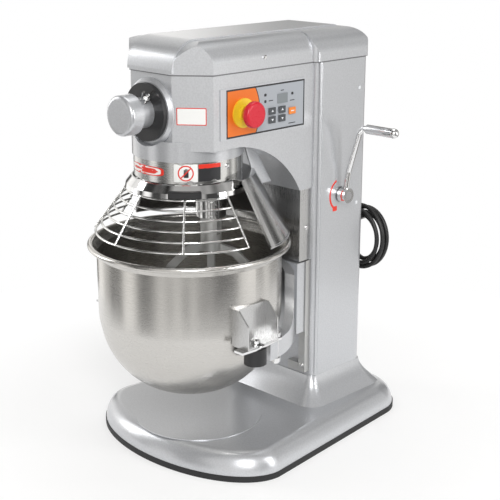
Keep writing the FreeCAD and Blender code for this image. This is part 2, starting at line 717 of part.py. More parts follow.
def yoke():
    """A half ring around the bowl, low at the arms and tall at the back, on a T-shaped slide."""
    inner, thick = YOKE_IN, S["yoke_thick"]
    low, arm, top = S["arm_low_z"], S["arm_high_z"], S["yoke_top_z"] - 2
    outer = Part.makeCylinder(inner + thick, top - low, V(0, 0, low))
    bore = Part.makeCylinder(inner, top - low + 2, V(0, 0, low - 1))
    front_half = Part.makeBox(500, 300 + S["arm_tip_y"], 200, V(-250, -300, low - 1))
    rise = [V(-250, -20, arm), V(-250, 78, arm), V(-250, 108, arm + 16), V(-250, 122, arm + 62)]
    edges = [Part.makeLine(rise[0], rise[1]), Part.Arc(rise[1], rise[2], rise[3]).toShape()]
    corners = [rise[3], V(-250, 122, top + 5), V(-250, -20, top + 5), rise[0]]
    for first, last in zip(corners, corners[1:]):
        edges.append(Part.makeLine(first, last))
    over = Part.Face(Part.Wire(edges)).extrude(V(500, 0, 0))
    ring = outer.cut(bore).cut(front_half).cut(over)
    gap = S["gap"]
    back = S["column_front_y"] - 4
    stem_y, flange_y, slide_low = YOKE_IN + 15, YOKE_IN + 5, 190
    stem = Part.makeBox(2 * (RAIL_IN - gap), back - stem_y, top - slide_low, V(gap - RAIL_IN, stem_y, slide_low))
    flange = Part.makeBox(2 * RAIL_OUT - 6, RAIL_FRONT - gap - flange_y, top - slide_low,
                          V(3 - RAIL_OUT, flange_y, slide_low))
    flange = flange.cut(Part.makeCylinder(inner, 300, V(0, 0, 100)))
    body = ring.multiFuse([stem, flange])
    for side in (1, -1):
        body = body.cut(Part.makeCylinder(5.05, 60, V(side * (inner + thick / 2), BOLT_Y, low - 5)))
    return body.removeSplitter()


subpart("bowl_yoke", feature("BowlYoke", yoke()))

RAIL_LONG = 223
rails = []
for side, low_x in ((1, "%d" % RAIL_IN), (-1, "0 - %d" % RAIL_OUT)):
    rails.append(box("Rail%d" % (side + 2), ("%d" % (RAIL_OUT - RAIL_IN), "column_front_y - %d" % RAIL_FRONT,
                                             "%d" % RAIL_LONG),
                     (low_x, "%d" % RAIL_FRONT, "column_foot_z + 10")))
stop_at = ("%d - 26" % RAIL_IN, "column_front_y - 14", "column_foot_z + 10")
rails.append(box("StopBlock", ("26", "14", "16"), stop_at))
rail_set = doc.addObject("Part::Compound", "SlideRails")
rail_set.Links = rails
subpart("slide_rails", rail_set)


def slide_cover():
    """A stainless channel over the slide, between the yoke and the head."""
    half, front, low, high = 101, 181, S["yoke_top_z"] + 1, S["arch_foot_z"] - 0.5
    outer = Part.makeBox(2 * half, S["column_front_y"] - front, high - low, V(-half, front, low))
    wall = S["sheet_wall"]
    room = Part.makeBox(2 * (half - wall), 60, high - low + 2, V(wall - half, front + wall, low - 1))
    return outer.cut(room)


subpart("slide_cover", feature("SlideCover", slide_cover()))

RACK_MODULE, PINION_TEETH = 3, 12
RACK_LOW, RACK_HIGH = 300, 520


def lift_rack():
    """A bracket through the column's slot and an upright toothed bar behind it."""
    pitch_y = S["crank_y"] - S["lift_pitch_r"]
    bar = Part.makeBox(18, 9, RACK_HIGH - RACK_LOW, V(-9, pitch_y - 0.85 * RACK_MODULE - 9, RACK_LOW))
    step = math.pi * RACK_MODULE
    front = pitch_y - 0.85 * RACK_MODULE - 0.1
    teeth = []
    count = 9
    for index in range(count):
        middle = S["crank_z"] + (index - 1) * step
        outline = [(front, middle - 0.30 * step), (pitch_y + 0.6 * RACK_MODULE, middle - 0.12 * step),
                   (pitch_y + 0.6 * RACK_MODULE, middle + 0.12 * step), (front, middle + 0.30 * step)]
        teeth.append(face_of(outline, "yz", -9).extrude(V(18, 0, 0)))
    back = S["column_front_y"] - 4
    arm = Part.makeBox(24, pitch_y - 8 - back, 20, V(-12, back, RACK_LOW))
    return bar.multiFuse(teeth + [arm]).removeSplitter()


subpart("lift_rack", feature("LiftRack", lift_rack()))


def lift_pinion():
    """Teeth on the crank shaft; one gap faces the rack's tooth at rest."""
    wheel = gear(PINION_TEETH, RACK_MODULE, 22, V(0, 0, -11), bore=7.9)
    wheel.rotate(V(), UP, 180.0 / PINION_TEETH)
    wheel.rotate(V(), BACK, 90)
    wheel.translate(V(0, S["crank_y"], S["crank_z"]))
    return wheel


bush_at = ("column_half - 54", "crank_y", "crank_z")
subpart("crank_bush", tube("CrankBush", "14.9", "8 + run_gap", "56", bush_at, "x"))
crank_rod = cylinder("CrankRod", "8", "column_half + 40", ("0 - 20", "crank_y", "crank_z"), "x")
subpart("crank_shaft", fuse("CrankShaft", crank_rod, feature("LiftPinion", lift_pinion())))


def crank_arm():
    """A hub on the shaft and a bent bar up to the grip."""
    y, z, reach = S["crank_y"], S["crank_z"], S["crank_reach"]
    start = S["column_half"] + 3
    hub = Part.makeCylinder(14, 17, V(start, y, z), RIGHT)
    bore = Part.makeCylinder(8, 60, V(start - 20, y, z), RIGHT)
    tip = S["column_half"] + 116.5
    cap = Part.makeSphere(9, V(tip, y + 3, z + reach))
    cap = cap.cut(Part.makeCylinder(20, 20, V(tip - 21.5, y + 3, z + reach), RIGHT))
    bar = rod([V(start + 8.5, y, z + 6), V(start + 14, y + 1, z + 0.35 * reach),
               V(start + 36, y + 3, z + reach - 9), V(start + 45, y + 3, z + reach),
               V(tip + 2, y + 3, z + reach)], 5)
    return hub.multiFuse([bar, cap]).cut(bore).removeSplitter()


subpart("crank_arm", feature("CrankArm", crank_arm()))
GRIP_AT = ("column_half + 56.5", "crank_y + 3", "crank_z + crank_reach")
subpart("crank_grip", tube("CrankGrip", "8.5", "5 + run_gap", "58", GRIP_AT, "x"))


# ---- Bowl clamps, one on each arm ----
PLATE_LOW, PLATE_THICK = 241.3, 4


def clamp_plate(side):
    """A swinging plate with a rounded end, a stud near its tip and a nut on the stud."""
    x = YOKE_IN + S["yoke_thick"] / 2
    outline = [(x - 9, BOLT_Y), (x - 9, -40), (x - 4, -62), (x + 16, -62), (x + 18, -20), (x + 9, BOLT_Y)]
    plate = face_of(outline, "xy", PLATE_LOW).extrude(V(0, 0, PLATE_THICK))
    plate = plate.fuse(Part.makeCylinder(11, PLATE_THICK, V(x, BOLT_Y, PLATE_LOW)))
    plate = plate.cut(Part.makeCylinder(5 + S["run_gap"], 20, V(x, BOLT_Y, PLATE_LOW - 5)))
    stud = Part.makeCylinder(4, 50, V(CLAMP_X, CLAMP_Y, 206))
    nut = Part.makeCylinder(7.5, 5, V(CLAMP_X, CLAMP_Y, EAR_LOW + 3.3))
    dome = Part.makeCone(7.5, 4, 3, V(CLAMP_X, CLAMP_Y, EAR_LOW + 8.3))
    body = plate.multiFuse([stud, nut, dome]).removeSplitter()
    return body if side > 0 else body.mirror(V(), RIGHT)


def pivot_bolt(side):
    """A bolt down through the arm with a hexagon nut at each end."""
    x = side * (YOKE_IN + S["yoke_thick"] / 2)
    pieces = [Part.makeCylinder(5, 60, V(x, BOLT_Y, 196))]
    for low in (199.5, PLATE_LOW + PLATE_THICK + 0.3):
        corners = [(x + 9 * math.cos(math.radians(60 * k)), BOLT_Y + 9 * math.sin(math.radians(60 * k)))
                   for k in range(6)]
        pieces.append(face_of(corners, "xy", low).extrude(V(0, 0, 7.2)))
    return pieces[0].multiFuse(pieces[1:]).removeSplitter()


for word, side in (("right", 1), ("left", -1)):
    subpart("clamp_plate_" + word, feature("ClampPlate%d" % (side + 2), clamp_plate(side)))
    knob_x = "bowl_out + yoke_gap + 11" if side > 0 else "0 - bowl_out - yoke_gap - 11"
    knob = tube("ClampKnob%d" % (side + 2), "19.5", "4 + run_gap", "29", (knob_x, "0 - 18", "211.5"))
    subpart("clamp_knob_" + word, knob)

subpart("clamp_bolts", feature("ClampBolts", Part.makeCompound([pivot_bolt(1), pivot_bolt(-1)])))

# ---- Attachment hub ----
SCREW_BACK = 30

def hub_neck():
    """A painted flange on the head and a bright neck with the square drive's bore."""
    y, z = S["head_front_y"], S["hub_z"]
    rim = Part.makeCone(HUB_FLANGE_R - 5, HUB_FLANGE_R, 5, V(0, y - 8, z), BACK)
    flange = rim.fuse(Part.makeCylinder(HUB_FLANGE_R, 3, V(0, y - 3, z), BACK))
    neck = Part.makeCylinder(26, 50, V(0, y - 44, z), BACK)
    shank = Part.makeCylinder(HUB_SOCKET_R - 0.1, 9, V(0, y - 1, z), BACK)
    bore = Part.makeCylinder(15, 90, V(0, y - 50, z), BACK)
    screw_hole = Part.makeCylinder(3.55, 30, V(0, y - SCREW_BACK, z), V(0.6, 0, 0.8))
    return flange.multiFuse([neck, shank]).cut(bore).cut(screw_hole).removeSplitter()


subpart("hub_neck", feature("HubNeck", hub_neck()))
subpart("hub_disc", tube("HubDisc", "49", "26.1", "8", ("0", "head_front_y - 16.2", "hub_z"), "y"))


def hub_plug():
    """A turned cap on a shank that fills the hub's bore."""
    y, z = S["head_front_y"] - 44.4, S["hub_z"]
    cap = Part.makeCylinder(34, 27, V(0, y - 27, z), BACK)
    edges = [edge for edge in cap.Edges if abs(edge.BoundBox.YMin - (y - 27)) < 0.1 and edge.BoundBox.XLength > 60]
    cap = cap.makeFillet(7, edges[:1])
    shank = Part.makeCylinder(15 - S["run_gap"], 46, V(0, y - 1, z), BACK)
    return cap.fuse(shank).removeSplitter()


subpart("hub_plug", feature("HubPlug", hub_plug()))


def thumb_screw():
    """A threaded shank with two wings."""
    y, z = S["head_front_y"] - SCREW_BACK, S["hub_z"]
    shank = Part.makeCylinder(3.5, 25, V(0, 0, 15.6))
    boss = Part.makeCylinder(7, 9, V(0, 0, 27))
    wings = face_of([(-13, 48), (-10, 51), (-4, 42), (4, 42), (10, 51), (13, 48), (8, 33), (-8, 33)], "xz", -2)
    screw = shank.multiFuse([boss, wings.extrude(V(0, 4, 0))]).removeSplitter()
    screw.rotate(V(), UP, 90)
    screw.rotate(V(), BACK, math.degrees(math.atan2(0.6, 0.8)))
    screw.translate(V(0, y, z))
    return screw


subpart("thumb_screw", feature("ThumbScrew", thumb_screw()))

# ---- Controls on the right side ----
panel_plate = box("PanelPlate", ("2", "208", "86"), ("head_half", "0 - 24", "586"))
display = box("Display", ("1.6", "25", "17"), ("head_half + 1.9", "112", "634"))
subpart("control_panel", fuse("ControlPanel", panel_plate, display))
STOP_CENTRE, STOP_BORE, STOP_HEAD_R = (28.5, 628), 9.5, 22.5
STOP_AT = ("head_half + 2", "%g" % STOP_CENTRE[0], "%g" % STOP_CENTRE[1])
stop_flange = tube("StopFlange", "25", "%g" % STOP_BORE, "3", STOP_AT, "x")
stop_collar = tube("StopCollar", "13", "%g" % STOP_BORE, "8", STOP_AT, "x")
subpart("stop_ring", fuse("StopRing", stop_flange, stop_collar))


def stop_button():
    """A mushroom head on a stem."""
    x = S["head_half"] + 2
    y, z = STOP_CENTRE
    stem = Part.makeCylinder(STOP_BORE - 0.1, 12, V(x + 6.5, y, z), RIGHT)
    head = Part.makeCone(17, STOP_HEAD_R, 8, V(x + 15, y, z), RIGHT)
    top = Part.makeCylinder(STOP_HEAD_R, 10, V(x + 23, y, z), RIGHT)
    edges = [edge for edge in top.Edges if edge.BoundBox.XMin > x + 32.9 and edge.BoundBox.YLength > 30]
    top = top.makeFillet(5, edges[:1])
    return stem.multiFuse([head, top]).removeSplitter()


subpart("stop_button", feature("StopButton", stop_button()))
KEYS = {"key_timer_up": (89, 617), "key_timer_down": (89, 602), "key_hold_up": (114, 617),
        "key_hold_down": (114, 602), "key_start": (140, 612)}
for name, (key_y, key_z) in KEYS.items():
    low_y, high_y, low_z, high_z = ("%g" % number for number in (key_y, key_y + 17, key_z, key_z + 12))
    outline = [(low_y, low_z), (high_y, low_z), (high_y, high_z), (low_y, high_z)]
    key = chamfered(padded_out(name.title().replace("_", ""), "YZ_Plane", outline, "2"), 0.6)
    key.setExpression("Placement.Base.x", sized("head_half + 3"))
    subpart(name, key)
LEVER_AT = (70, 628)
subpart("gear_dial", cylinder("GearDial", "28", "3", ("0 - head_half", "70", "628"), "-x"))


def gear_lever():
    """A boss, a bar and a ball on the left side."""
    x, (y, z) = -S["head_half"] - 3.3, LEVER_AT
    boss = Part.makeCylinder(13, 16, V(x, y, z), V(-1, 0, 0))
    bar = rod([V(x - 9, y, z), V(x - 24, y - 26, z + 28)], 4.5)
    ball = Part.makeSphere(11, V(x - 27, y - 32, z + 34))
    return boss.multiFuse([bar, ball]).removeSplitter()


subpart("gear_lever", feature("GearLever", gear_lever()))

# ---- Planetary head and drive ----
SPINDLE_TOP = 692
MAIN_GEAR_Z, GEAR_THICK = 654, 14
COUNTER_Y = (S["main_teeth"] + S["counter_teeth"]) * S["gear_module"] / 2.0
PULLEY_Z, PULLEY_THICK = 674, 12
BEVEL_R, BEVEL_LONG = 21, 8


def planet_carrier():
    """A round housing with the spindle bore in the middle and the beater shaft's bore beside it."""
    body = Part.makeCylinder(91, 33, V(0, 0, S["neck_low_z"] + 2))
    pocket = Part.makeCylinder(30, 6, V(S["orbit"], 0, S["neck_low_z"] + 29.1))
    bore = Part.makeCylinder(12 + S["run_gap"], 60, V(S["orbit"], 0, 500))
    spindle = Part.makeCylinder(SPINDLE_R, 60, V(0, 0, 525))
    return body.cut(pocket).cut(bore).cut(spindle)


subpart("planet_carrier", feature("PlanetCarrier", planet_carrier()))
subpart("main_gear", feature("MainGear", gear(int(S["main_teeth"]), S["gear_module"], GEAR_THICK,
                                             V(0, 0, MAIN_GEAR_Z), bore=12)))
spindle_bearing = tube("SpindleBearing", "29.9", "12 + run_gap", "13", ("0", "0", "head_under_z + 0.5"))


def ring_gear():
    pitch = S["ring_teeth"] * S["gear_module"] / 2
    return gear(int(S["ring_teeth"]), S["gear_module"], 14, V(0, 0, 552.5), bore=pitch + 11.3, inner=True)


subpart("ring_gear", feature("RingGear", ring_gear()))


def planet_pinion():
    wheel = gear(int(S["planet_teeth"]), S["gear_module"], 14, V(0, 0, 552.5), bore=9.9)
    wheel.translate(V(S["orbit"], 0, 0))
    return wheel



def beater_shaft():
    """A thick polished sleeve under the carrier, a thin shaft up to the pinion, a stub below."""
    low = S["neck_low_z"]
    sleeve = Part.makeCylinder(26.5, low - 447, V(S["orbit"], 0, 447))
    upper = Part.makeCylinder(12, 547 - low + 1, V(S["orbit"], 0, low - 1))
    top = Part.makeCylinder(10, 567 - 546, V(S["orbit"], 0, 546))
    stub = Part.makeCylinder(10, 50, V(S["orbit"], 0, 398))
    pin = Part.makeCylinder(3, 34, V(S["orbit"] - 17, 0, 418), RIGHT)
    return sleeve.multiFuse([upper, top, stub, pin, planet_pinion()]).removeSplitter()


subpart("beater_shaft", feature("BeaterShaft", beater_shaft()))

BEATER_TURN = 35
BEATER_THICK = 9
OUTLINE = [(18, 396), (44, 388), (80, 352), (92, 318), (92, 262), (84, 214), (66, 174), (43, 147), (21, 133)]
WINDOW = [(6, 384), (38, 376), (68, 344), (79, 314), (79, 265), (72, 219), (56, 181), (35, 158), (17, 146)]
BEATER_HALF = S["bowl_out"] - S["bowl_wall"] - S["orbit"] - S["beater_gap"]


def flat_beater():
    """A flat frame with two crossed bars under a hub, which hangs on the shaft's pin."""
    widen = BEATER_HALF / max(x for x, z in OUTLINE)
    right = [(x * widen, z) for x, z in OUTLINE]
    outer = right + [(-x, z) for x, z in reversed(right)]
    plate = face_of(outer, "xz", -BEATER_THICK / 2).extrude(V(0, BEATER_THICK, 0))
    rim = 13
    inner = [(x * widen, z) for x, z in WINDOW]
    opening = inner + [(-x, z) for x, z in reversed(inner)]
    window = face_of(opening, "xz", -20).extrude(V(0, 40, 0))
    bars = []
    for slope in (1, -1):
        end, drop, half = 80 * widen, slope * 74, 6
        bar = face_of([(-end, 250 + drop - half), (end, 250 - drop - half),
                       (end, 250 - drop + half), (-end, 250 + drop + half)], "xz", -BEATER_THICK / 2)
        bars.append(bar.extrude(V(0, BEATER_THICK, 0)))
    upright = Part.makeBox(rim, BEATER_THICK, 248, V(-rim / 2, -BEATER_THICK / 2, 138))
    window = window.cut(bars[0].fuse(bars[1]).fuse(upright))
    hub = Part.makeCylinder(18.5, 446.5 - 386, V(0, 0, 386))
    bore = Part.makeCylinder(10.05, 60, V(0, 0, 397.5))
    slot = Part.makeBox(80, 7, 32, V(-40, -3.5, 414.5))
    body = plate.cut(window).fuse(hub).cut(bore)
    slot.rotate(V(), UP, -BEATER_TURN)
    body = body.cut(slot).removeSplitter()
    body.rotate(V(), UP, BEATER_TURN)
    body.translate(V(S["orbit"], 0, 0))
    return body


subpart("flat_beater", feature("FlatBeater", flat_beater()))


def bevel(at, direction):
    wheel = Part.makeCone(BEVEL_R - 0.6, BEVEL_R - 0.6 - BEVEL_LONG, BEVEL_LONG, at, direction)
    return wheel.cut(Part.makeCylinder(9.9, 90, at - direction * 20, direction))


spindle_rod = cylinder("SpindleRod", "12", "%g - 525" % SPINDLE_TOP, ("0", "0", "525"))
bevel_wheel = feature("BevelWheel", bevel(V(0, 0, S["hub_z"] - BEVEL_R - 0.3), UP))
subpart("main_spindle", fuse("MainSpindle", spindle_rod, bevel_wheel))


def hub_shaft():
    """The drive shaft of the hub, with a square socket at its front end."""
    front = S["head_front_y"] + 1.5
    shaft = Part.makeCylinder(10, -15 - front - 16, V(0, front + 16, S["hub_z"]), BACK)
    head = Part.makeCylinder(15 - S["run_gap"], 20, V(0, front, S["hub_z"]), BACK)
    square = Part.makeBox(12, 13, 12, V(-6, front - 1, S["hub_z"] - 6))
    pinion = bevel(V(0, -BEVEL_R - 0.3, S["hub_z"]), BACK)
    return head.multiFuse([shaft, pinion]).cut(square).removeSplitter()


subpart("hub_shaft", feature("HubShaft", hub_shaft()))
shelf = box("Shelf", ("2*head_half - 2*cast_wall", "150", "6"), ("cast_wall - head_half", "52", "604"))
shelf_bore = cylinder("ShelfBore", "20", "20", ("0", "%g" % COUNTER_Y, "600"))
gearbox_shelf = cut("GearboxShelf", shelf, shelf_bore)
counter_bearing = tube("CounterBearing", "19.9", "8 + run_gap", "12", ("0", "%g" % COUNTER_Y, "602"))
bearings = doc.addObject("Part::Compound", "Bearings")
bearings.Links = [spindle_bearing, counter_bearing]
subpart("bearings", bearings)
counter_rod = cylinder("CounterRod", "8", "90", ("0", "%g" % COUNTER_Y, "600"))
counter_gear = gear(int(S["counter_teeth"]), S["gear_module"], GEAR_THICK, V(0, 0, MAIN_GEAR_Z), bore=7.9)
counter_gear.rotate(V(), UP, 270 - 360.0 / S["counter_teeth"] * round(0.75 * S["counter_teeth"]))
counter_gear.translate(V(0, COUNTER_Y, 0))
DRIVEN_R, DRIVING_R = 62, 25


def pulley(radius, shaft_r, y):
    """A flat-belt pulley with a flange on each side."""
    body = Part.makeCylinder(radius, PULLEY_THICK, V(0, y, PULLEY_Z))
    groove = Part.makeCylinder(radius + 5, PULLEY_THICK - 4, V(0, y, PULLEY_Z + 2))
    groove = groove.cut(Part.makeCylinder(radius - 3, PULLEY_THICK, V(0, y, PULLEY_Z)))
    return body.cut(groove).cut(Part.makeCylinder(shaft_r, 60, V(0, y, PULLEY_Z - 20)))


driven_pulley = feature("DrivenPulley", pulley(DRIVEN_R, 7.9, COUNTER_Y))
subpart("counter_shaft", fuse("CounterShaft", counter_rod, feature("CounterGear", counter_gear), driven_pulley))
motor_pulley = feature("MotorPulley", pulley(DRIVING_R, 6.9, S["motor_y"]))


def drive_belt():
    """A closed flat belt round both pulleys, with straight runs that touch both."""
    loops = []
    for extra in (3.0, 0.3):
        big, small = DRIVEN_R - 3 + extra, DRIVING_R - 3 + extra
        y1, y2 = COUNTER_Y, S["motor_y"]
        tilt = math.asin((big - small) / (y2 - y1))
        points = []
        for y, radius in ((y1, big), (y2, small)):
            points.append(V(radius * math.cos(tilt), y + radius * math.sin(tilt), PULLEY_Z + 3))
        left = [V(-p.x, p.y, p.z) for p in points]
        edges = [Part.makeLine(points[0], points[1]),
                 Part.Arc(points[1], V(0, y2 + small, PULLEY_Z + 3), left[1]).toShape(),
                 Part.makeLine(left[1], left[0]),
                 Part.Arc(left[0], V(0, y1 - big, PULLEY_Z + 3), points[0]).toShape()]
        loops.append(Part.Face(Part.Wire(edges)).extrude(V(0, 0, PULLEY_THICK - 6)))
    return loops[0].cut(loops[1])


subpart("drive_belt", feature("DriveBelt", drive_belt()))
MOTOR_LOW, MOTOR_R = 536, 55


def motor_body():
    """A round housing with cooling fins, a foot flange and an end shield."""
    y = S["motor_y"]
    body = Part.makeCylinder(MOTOR_R - 5, 104, V(0, y, MOTOR_LOW + 4))
    fins = []
    for index in range(24):
        fin = Part.makeBox(8, 2.4, 84, V(MOTOR_R - 8, -1.2, MOTOR_LOW + 14))
        fin.rotate(V(), UP, index * 15)
        fin.translate(V(0, y, 0))
        fins.append(fin)
    foot = Part.makeCylinder(MOTOR_R, 6, V(0, y, MOTOR_LOW))
    bore = Part.makeCylinder(7 + S["run_gap"], 200, V(0, y, MOTOR_LOW - 10))
    return body.multiFuse(fins + [foot]).cut(bore).removeSplitter()


subpart("motor", feature("Motor", motor_body()))
motor_rod = cylinder("MotorRod", "7", "146", ("0", "motor_y", "%d" % (MOTOR_LOW + 6)))
subpart("motor_shaft", fuse("MotorShaft", motor_rod, motor_pulley))
plate_right, plate_left = "column_half - cast_wall - 1.1", "0 - column_half + cast_wall + 1.1"
plate_front, plate_back = "column_front_y + 7.5", "column_back_y - 7.5"
plate_outline = [(plate_left + " + 8", plate_front), (plate_right + " - 8", plate_front),
                 (plate_right, plate_front + " + 8"), (plate_right, plate_back + " - 8"),
                 (plate_right + " - 8", plate_back), (plate_left + " + 8", plate_back),
                 (plate_left, plate_back + " - 8"), (plate_left, plate_front + " + 8")]
plate = padded_out("MotorPlate", "XY_Plane", plate_outline, "5")
plate.setExpression("Placement.Base.z", "%d" % (MOTOR_LOW - 5))
shelves = doc.addObject("Part::Compound", "InnerShelves")
shelves.Links = [gearbox_shelf, plate]
subpart("inner_shelves", shelves)


# ---- Screws ----

def screws(places, radius, high):
    """A group of round-headed screws; each place is a point and an outward direction."""
    made = []
    for point, out in places:
        head = Part.makeCylinder(radius, high * 0.5, point, out)
        crown = Part.makeCone(radius, radius * 0.55, high * 0.5, point + out * (high * 0.5), out)
        made.append(head.fuse(crown).removeSplitter())
    return Part.makeCompound(made)


half = S["column_half"]
back = S["column_back_y"] + S["back_cover_thick"]
BACK_SCREWS = [(V(x, back, z), BACK) for x in (-94, 94) for z in (116, 300, 490, 680)]
SIDE_SCREWS = [(V(side * (S["head_half"] + 0.5), 82, 716), V(side, 0, 0)) for side in (-1, 1)]
SIDE_SCREWS += [(V(side * 101, 200, 393), V(side, 0, 0)) for side in (-1, 1)]
RAIL_SCREWS = [(V(side * 96, RAIL_FRONT, z), V(0, -1, 0)) for side in (-1, 1) for z in (120,)]
RING_SCREWS = [(polar(S["neck_out"], angle, 540), polar(1, angle, 0)) for angle in (1, 179)]
ALL_SCREWS = BACK_SCREWS + SIDE_SCREWS + RAIL_SCREWS + RING_SCREWS
subpart("case_screws", feature("CaseScrews", screws(ALL_SCREWS, 4, 2.6)))

# ---- Mains cord ----
CORD_R = 4.2
GLAND_X, GLAND_Z, GLAND_LONG = -20, 185, 24


def cord_gland():
    """A collar on the back cover with a tapered strain relief."""
    collar = Part.makeCylinder(13, 5, V(GLAND_X, back, GLAND_Z), BACK)
    relief = Part.makeCone(9, CORD_R + 1, GLAND_LONG, V(GLAND_X, back + 4, GLAND_Z), BACK)
    bore = Part.makeCylinder(CORD_R, GLAND_LONG, V(GLAND_X, back + 8, GLAND_Z), BACK)
    return collar.fuse(relief).cut(bore).removeSplitter()


subpart("cord_gland", feature("CordGland", cord_gland()))
GLAND_TIP = back + 4 + GLAND_LONG
ROUTE_UP = [(-20, GLAND_TIP - 6, 185), (-20, 403, 185), (-19, 424, 197), (-15, 435, 218), (-6, 436, 241),
            (10, 428, 260), (30, 415, 270), (48, 405, 274), (66, 397, 275)]
ROUTE_DOWN = [(34, 384, 325), (31, 383, 298), (31, 382, 268), (33, 381, 238), (33, 381, 204)]


def cord_tube(route, label):
    """Straight runs joined by tangent arcs as large as the runs allow."""
    points = [V(*point) for point in route]
    edges, start, length = [], points[0], 0.0
    for before, corner, after in zip(points, points[1:], points[2:]):
        come, go = corner - before, after - corner
        half_turn = come.getAngle(go) / 2
        reach = 0.45 * min(come.Length, go.Length)
        radius = reach / math.tan(half_turn)
        print(label, "bend radius %.1f" % radius)
        come.normalize()
        go.normalize()
        first, last = corner - come * reach, corner + go * reach
        inward = go - come
        inward.normalize()
        middle = corner + inward * (radius / math.cos(half_turn) - radius)
        edges += [Part.makeLine(start, first), Part.Arc(first, middle, last).toShape()]
        length += (first - start).Length + radius * 2 * half_turn
        start = last
    edges.append(Part.makeLine(start, points[-1]))
    length += (points[-1] - start).Length
    path = Part.Wire(edges)
    section = Part.Wire(Part.makeCircle(CORD_R, points[0], points[1] - points[0]))
    tube_solid = path.makePipeShell([section], True, True)
    print(label, "length %.0f, volume ratio %.4f" % (length, tube_solid.Volume / (math.pi * CORD_R ** 2 * length)))
    return tube_solid


subpart("cord_rise", feature("CordRise", cord_tube(ROUTE_UP, "cord_rise")))
subpart("cord_tail", feature("CordTail", cord_tube(ROUTE_DOWN, "cord_tail")))
COIL = {"x": 88, "y": 363, "z": 338, "half_x": 61, "half_z": 69, "thick": 38, "band": 27}


def cord_coil():
    """The outer shape of the hanging loops: an upright oval ring."""
    def oval(half_x, half_z, y):
        middle = V(COIL["x"], y, COIL["z"])
        curve = Part.Ellipse(middle + V(0, 0, half_z), middle + V(half_x, 0, 0), middle)
        return Part.Face(Part.Wire(curve.toShape()))
    outer = oval(COIL["half_x"], COIL["half_z"], COIL["y"]).extrude(V(0, COIL["thick"], 0))
    inner = oval(COIL["half_x"] - COIL["band"], COIL["half_z"] - COIL["band"], COIL["y"] - 1)
    return outer.cut(inner.extrude(V(0, COIL["thick"] + 2, 0)))


subpart("cord_coil", feature("CordCoil", cord_coil()))


def cord_hook():
    """A bent strip on the back cover that carries the loops."""
    x, y = COIL["x"], back
    top_inside = COIL["z"] + COIL["half_z"] - COIL["band"]
    wide, thick, reach = 14, 3, 50
    arm_low = top_inside - 4.2
    foot = Part.makeBox(wide, thick, 46, V(x - wide / 2, y, arm_low - 34))
    arm = Part.makeBox(wide, reach, thick, V(x - wide / 2, y, arm_low))
    lip = Part.makeBox(wide, thick, 14, V(x - wide / 2, y + reach, arm_low))
    return foot.multiFuse([arm, lip]).removeSplitter()


subpart("cord_hook", feature("CordHook", cord_hook()))


def mains_plug():
    """A moulded plug with two round pins, hanging from the end of the cord."""
    x, y, z = ROUTE_DOWN[-1]
    neck = Part.makeCone(9, CORD_R + 1.2, 22, V(x, y, z - 22))
    body = Part.makeCone(17, 13, 34, V(x, y, z - 55))
    pins = [Part.makeCylinder(2.4, 19, V(x + dx, y, z - 74)) for dx in (-9.5, 9.5)]
    return neck.multiFuse([body] + pins).removeSplitter()


subpart("mains_plug", feature("MainsPlug", mains_plug()))

# ---- Check and write ----
doc.recompute()
failed = [obj.Name for obj in doc.Objects if "Invalid" in obj.State or "Error" in obj.State]
for label, obj in SUBPARTS:
    if obj.Shape.isNull() or not obj.Shape.isValid() or not obj.Shape.Solids:
        failed.append(label)
if failed:
    raise RuntimeError("these did not build: " + ", ".join(failed))
os.makedirs("parts", exist_ok=True)
for label, obj in SUBPARTS:
    obj.Shape.exportStep("parts/" + label + ".step")
print("sub-parts written:", len(SUBPARTS))
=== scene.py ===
import bpy
import math
import numpy as np
from mathutils import Matrix, Vector


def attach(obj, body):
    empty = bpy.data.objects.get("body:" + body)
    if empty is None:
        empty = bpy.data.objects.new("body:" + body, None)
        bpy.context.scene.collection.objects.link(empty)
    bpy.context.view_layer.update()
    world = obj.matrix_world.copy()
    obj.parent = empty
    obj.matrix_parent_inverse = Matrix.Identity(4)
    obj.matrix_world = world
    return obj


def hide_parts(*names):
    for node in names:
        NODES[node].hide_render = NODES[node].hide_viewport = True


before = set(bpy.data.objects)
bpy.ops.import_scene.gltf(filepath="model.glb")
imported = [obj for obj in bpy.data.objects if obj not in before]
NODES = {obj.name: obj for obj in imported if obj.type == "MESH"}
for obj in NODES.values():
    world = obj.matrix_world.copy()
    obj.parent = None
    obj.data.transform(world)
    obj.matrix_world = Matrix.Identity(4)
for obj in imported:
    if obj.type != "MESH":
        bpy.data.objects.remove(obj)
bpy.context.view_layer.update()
MM = 0.001

# ---- Camera ----
EYE = Vector((1.4567, -1.3327, 0.9637))
TURN, DOWN, ROLL = (math.radians(value) for value in (44.41, 16.72, 0.14))
VIEW_PX, FOCAL_PX, SENSOR_MM = 500.0, 1151.41, 36.0


def place_camera():
    """Looks along a heading turned from +Y towards -X and tipped down."""
    right = Vector((math.cos(TURN), math.sin(TURN), 0))
    ahead = Vector((-math.sin(TURN) * math.cos(DOWN), math.cos(TURN) * math.cos(DOWN), -math.sin(DOWN)))
    up = right.cross(ahead)
    right, up = (right * math.cos(ROLL) + up * math.sin(ROLL),
                 up * math.cos(ROLL) - right * math.sin(ROLL))
    data = bpy.data.cameras.new("camera")
    data.sensor_width = SENSOR_MM
    data.lens = FOCAL_PX / VIEW_PX * SENSOR_MM
    data.clip_end = 60
    camera = bpy.data.objects.new("camera", data)
    bpy.context.scene.collection.objects.link(camera)
    camera.matrix_world = Matrix((
        (right.x, up.x, -ahead.x, EYE.x), (right.y, up.y, -ahead.y, EYE.y),
        (right.z, up.z, -ahead.z, EYE.z), (0, 0, 0, 1)))
    bpy.context.scene.camera = camera


place_camera()


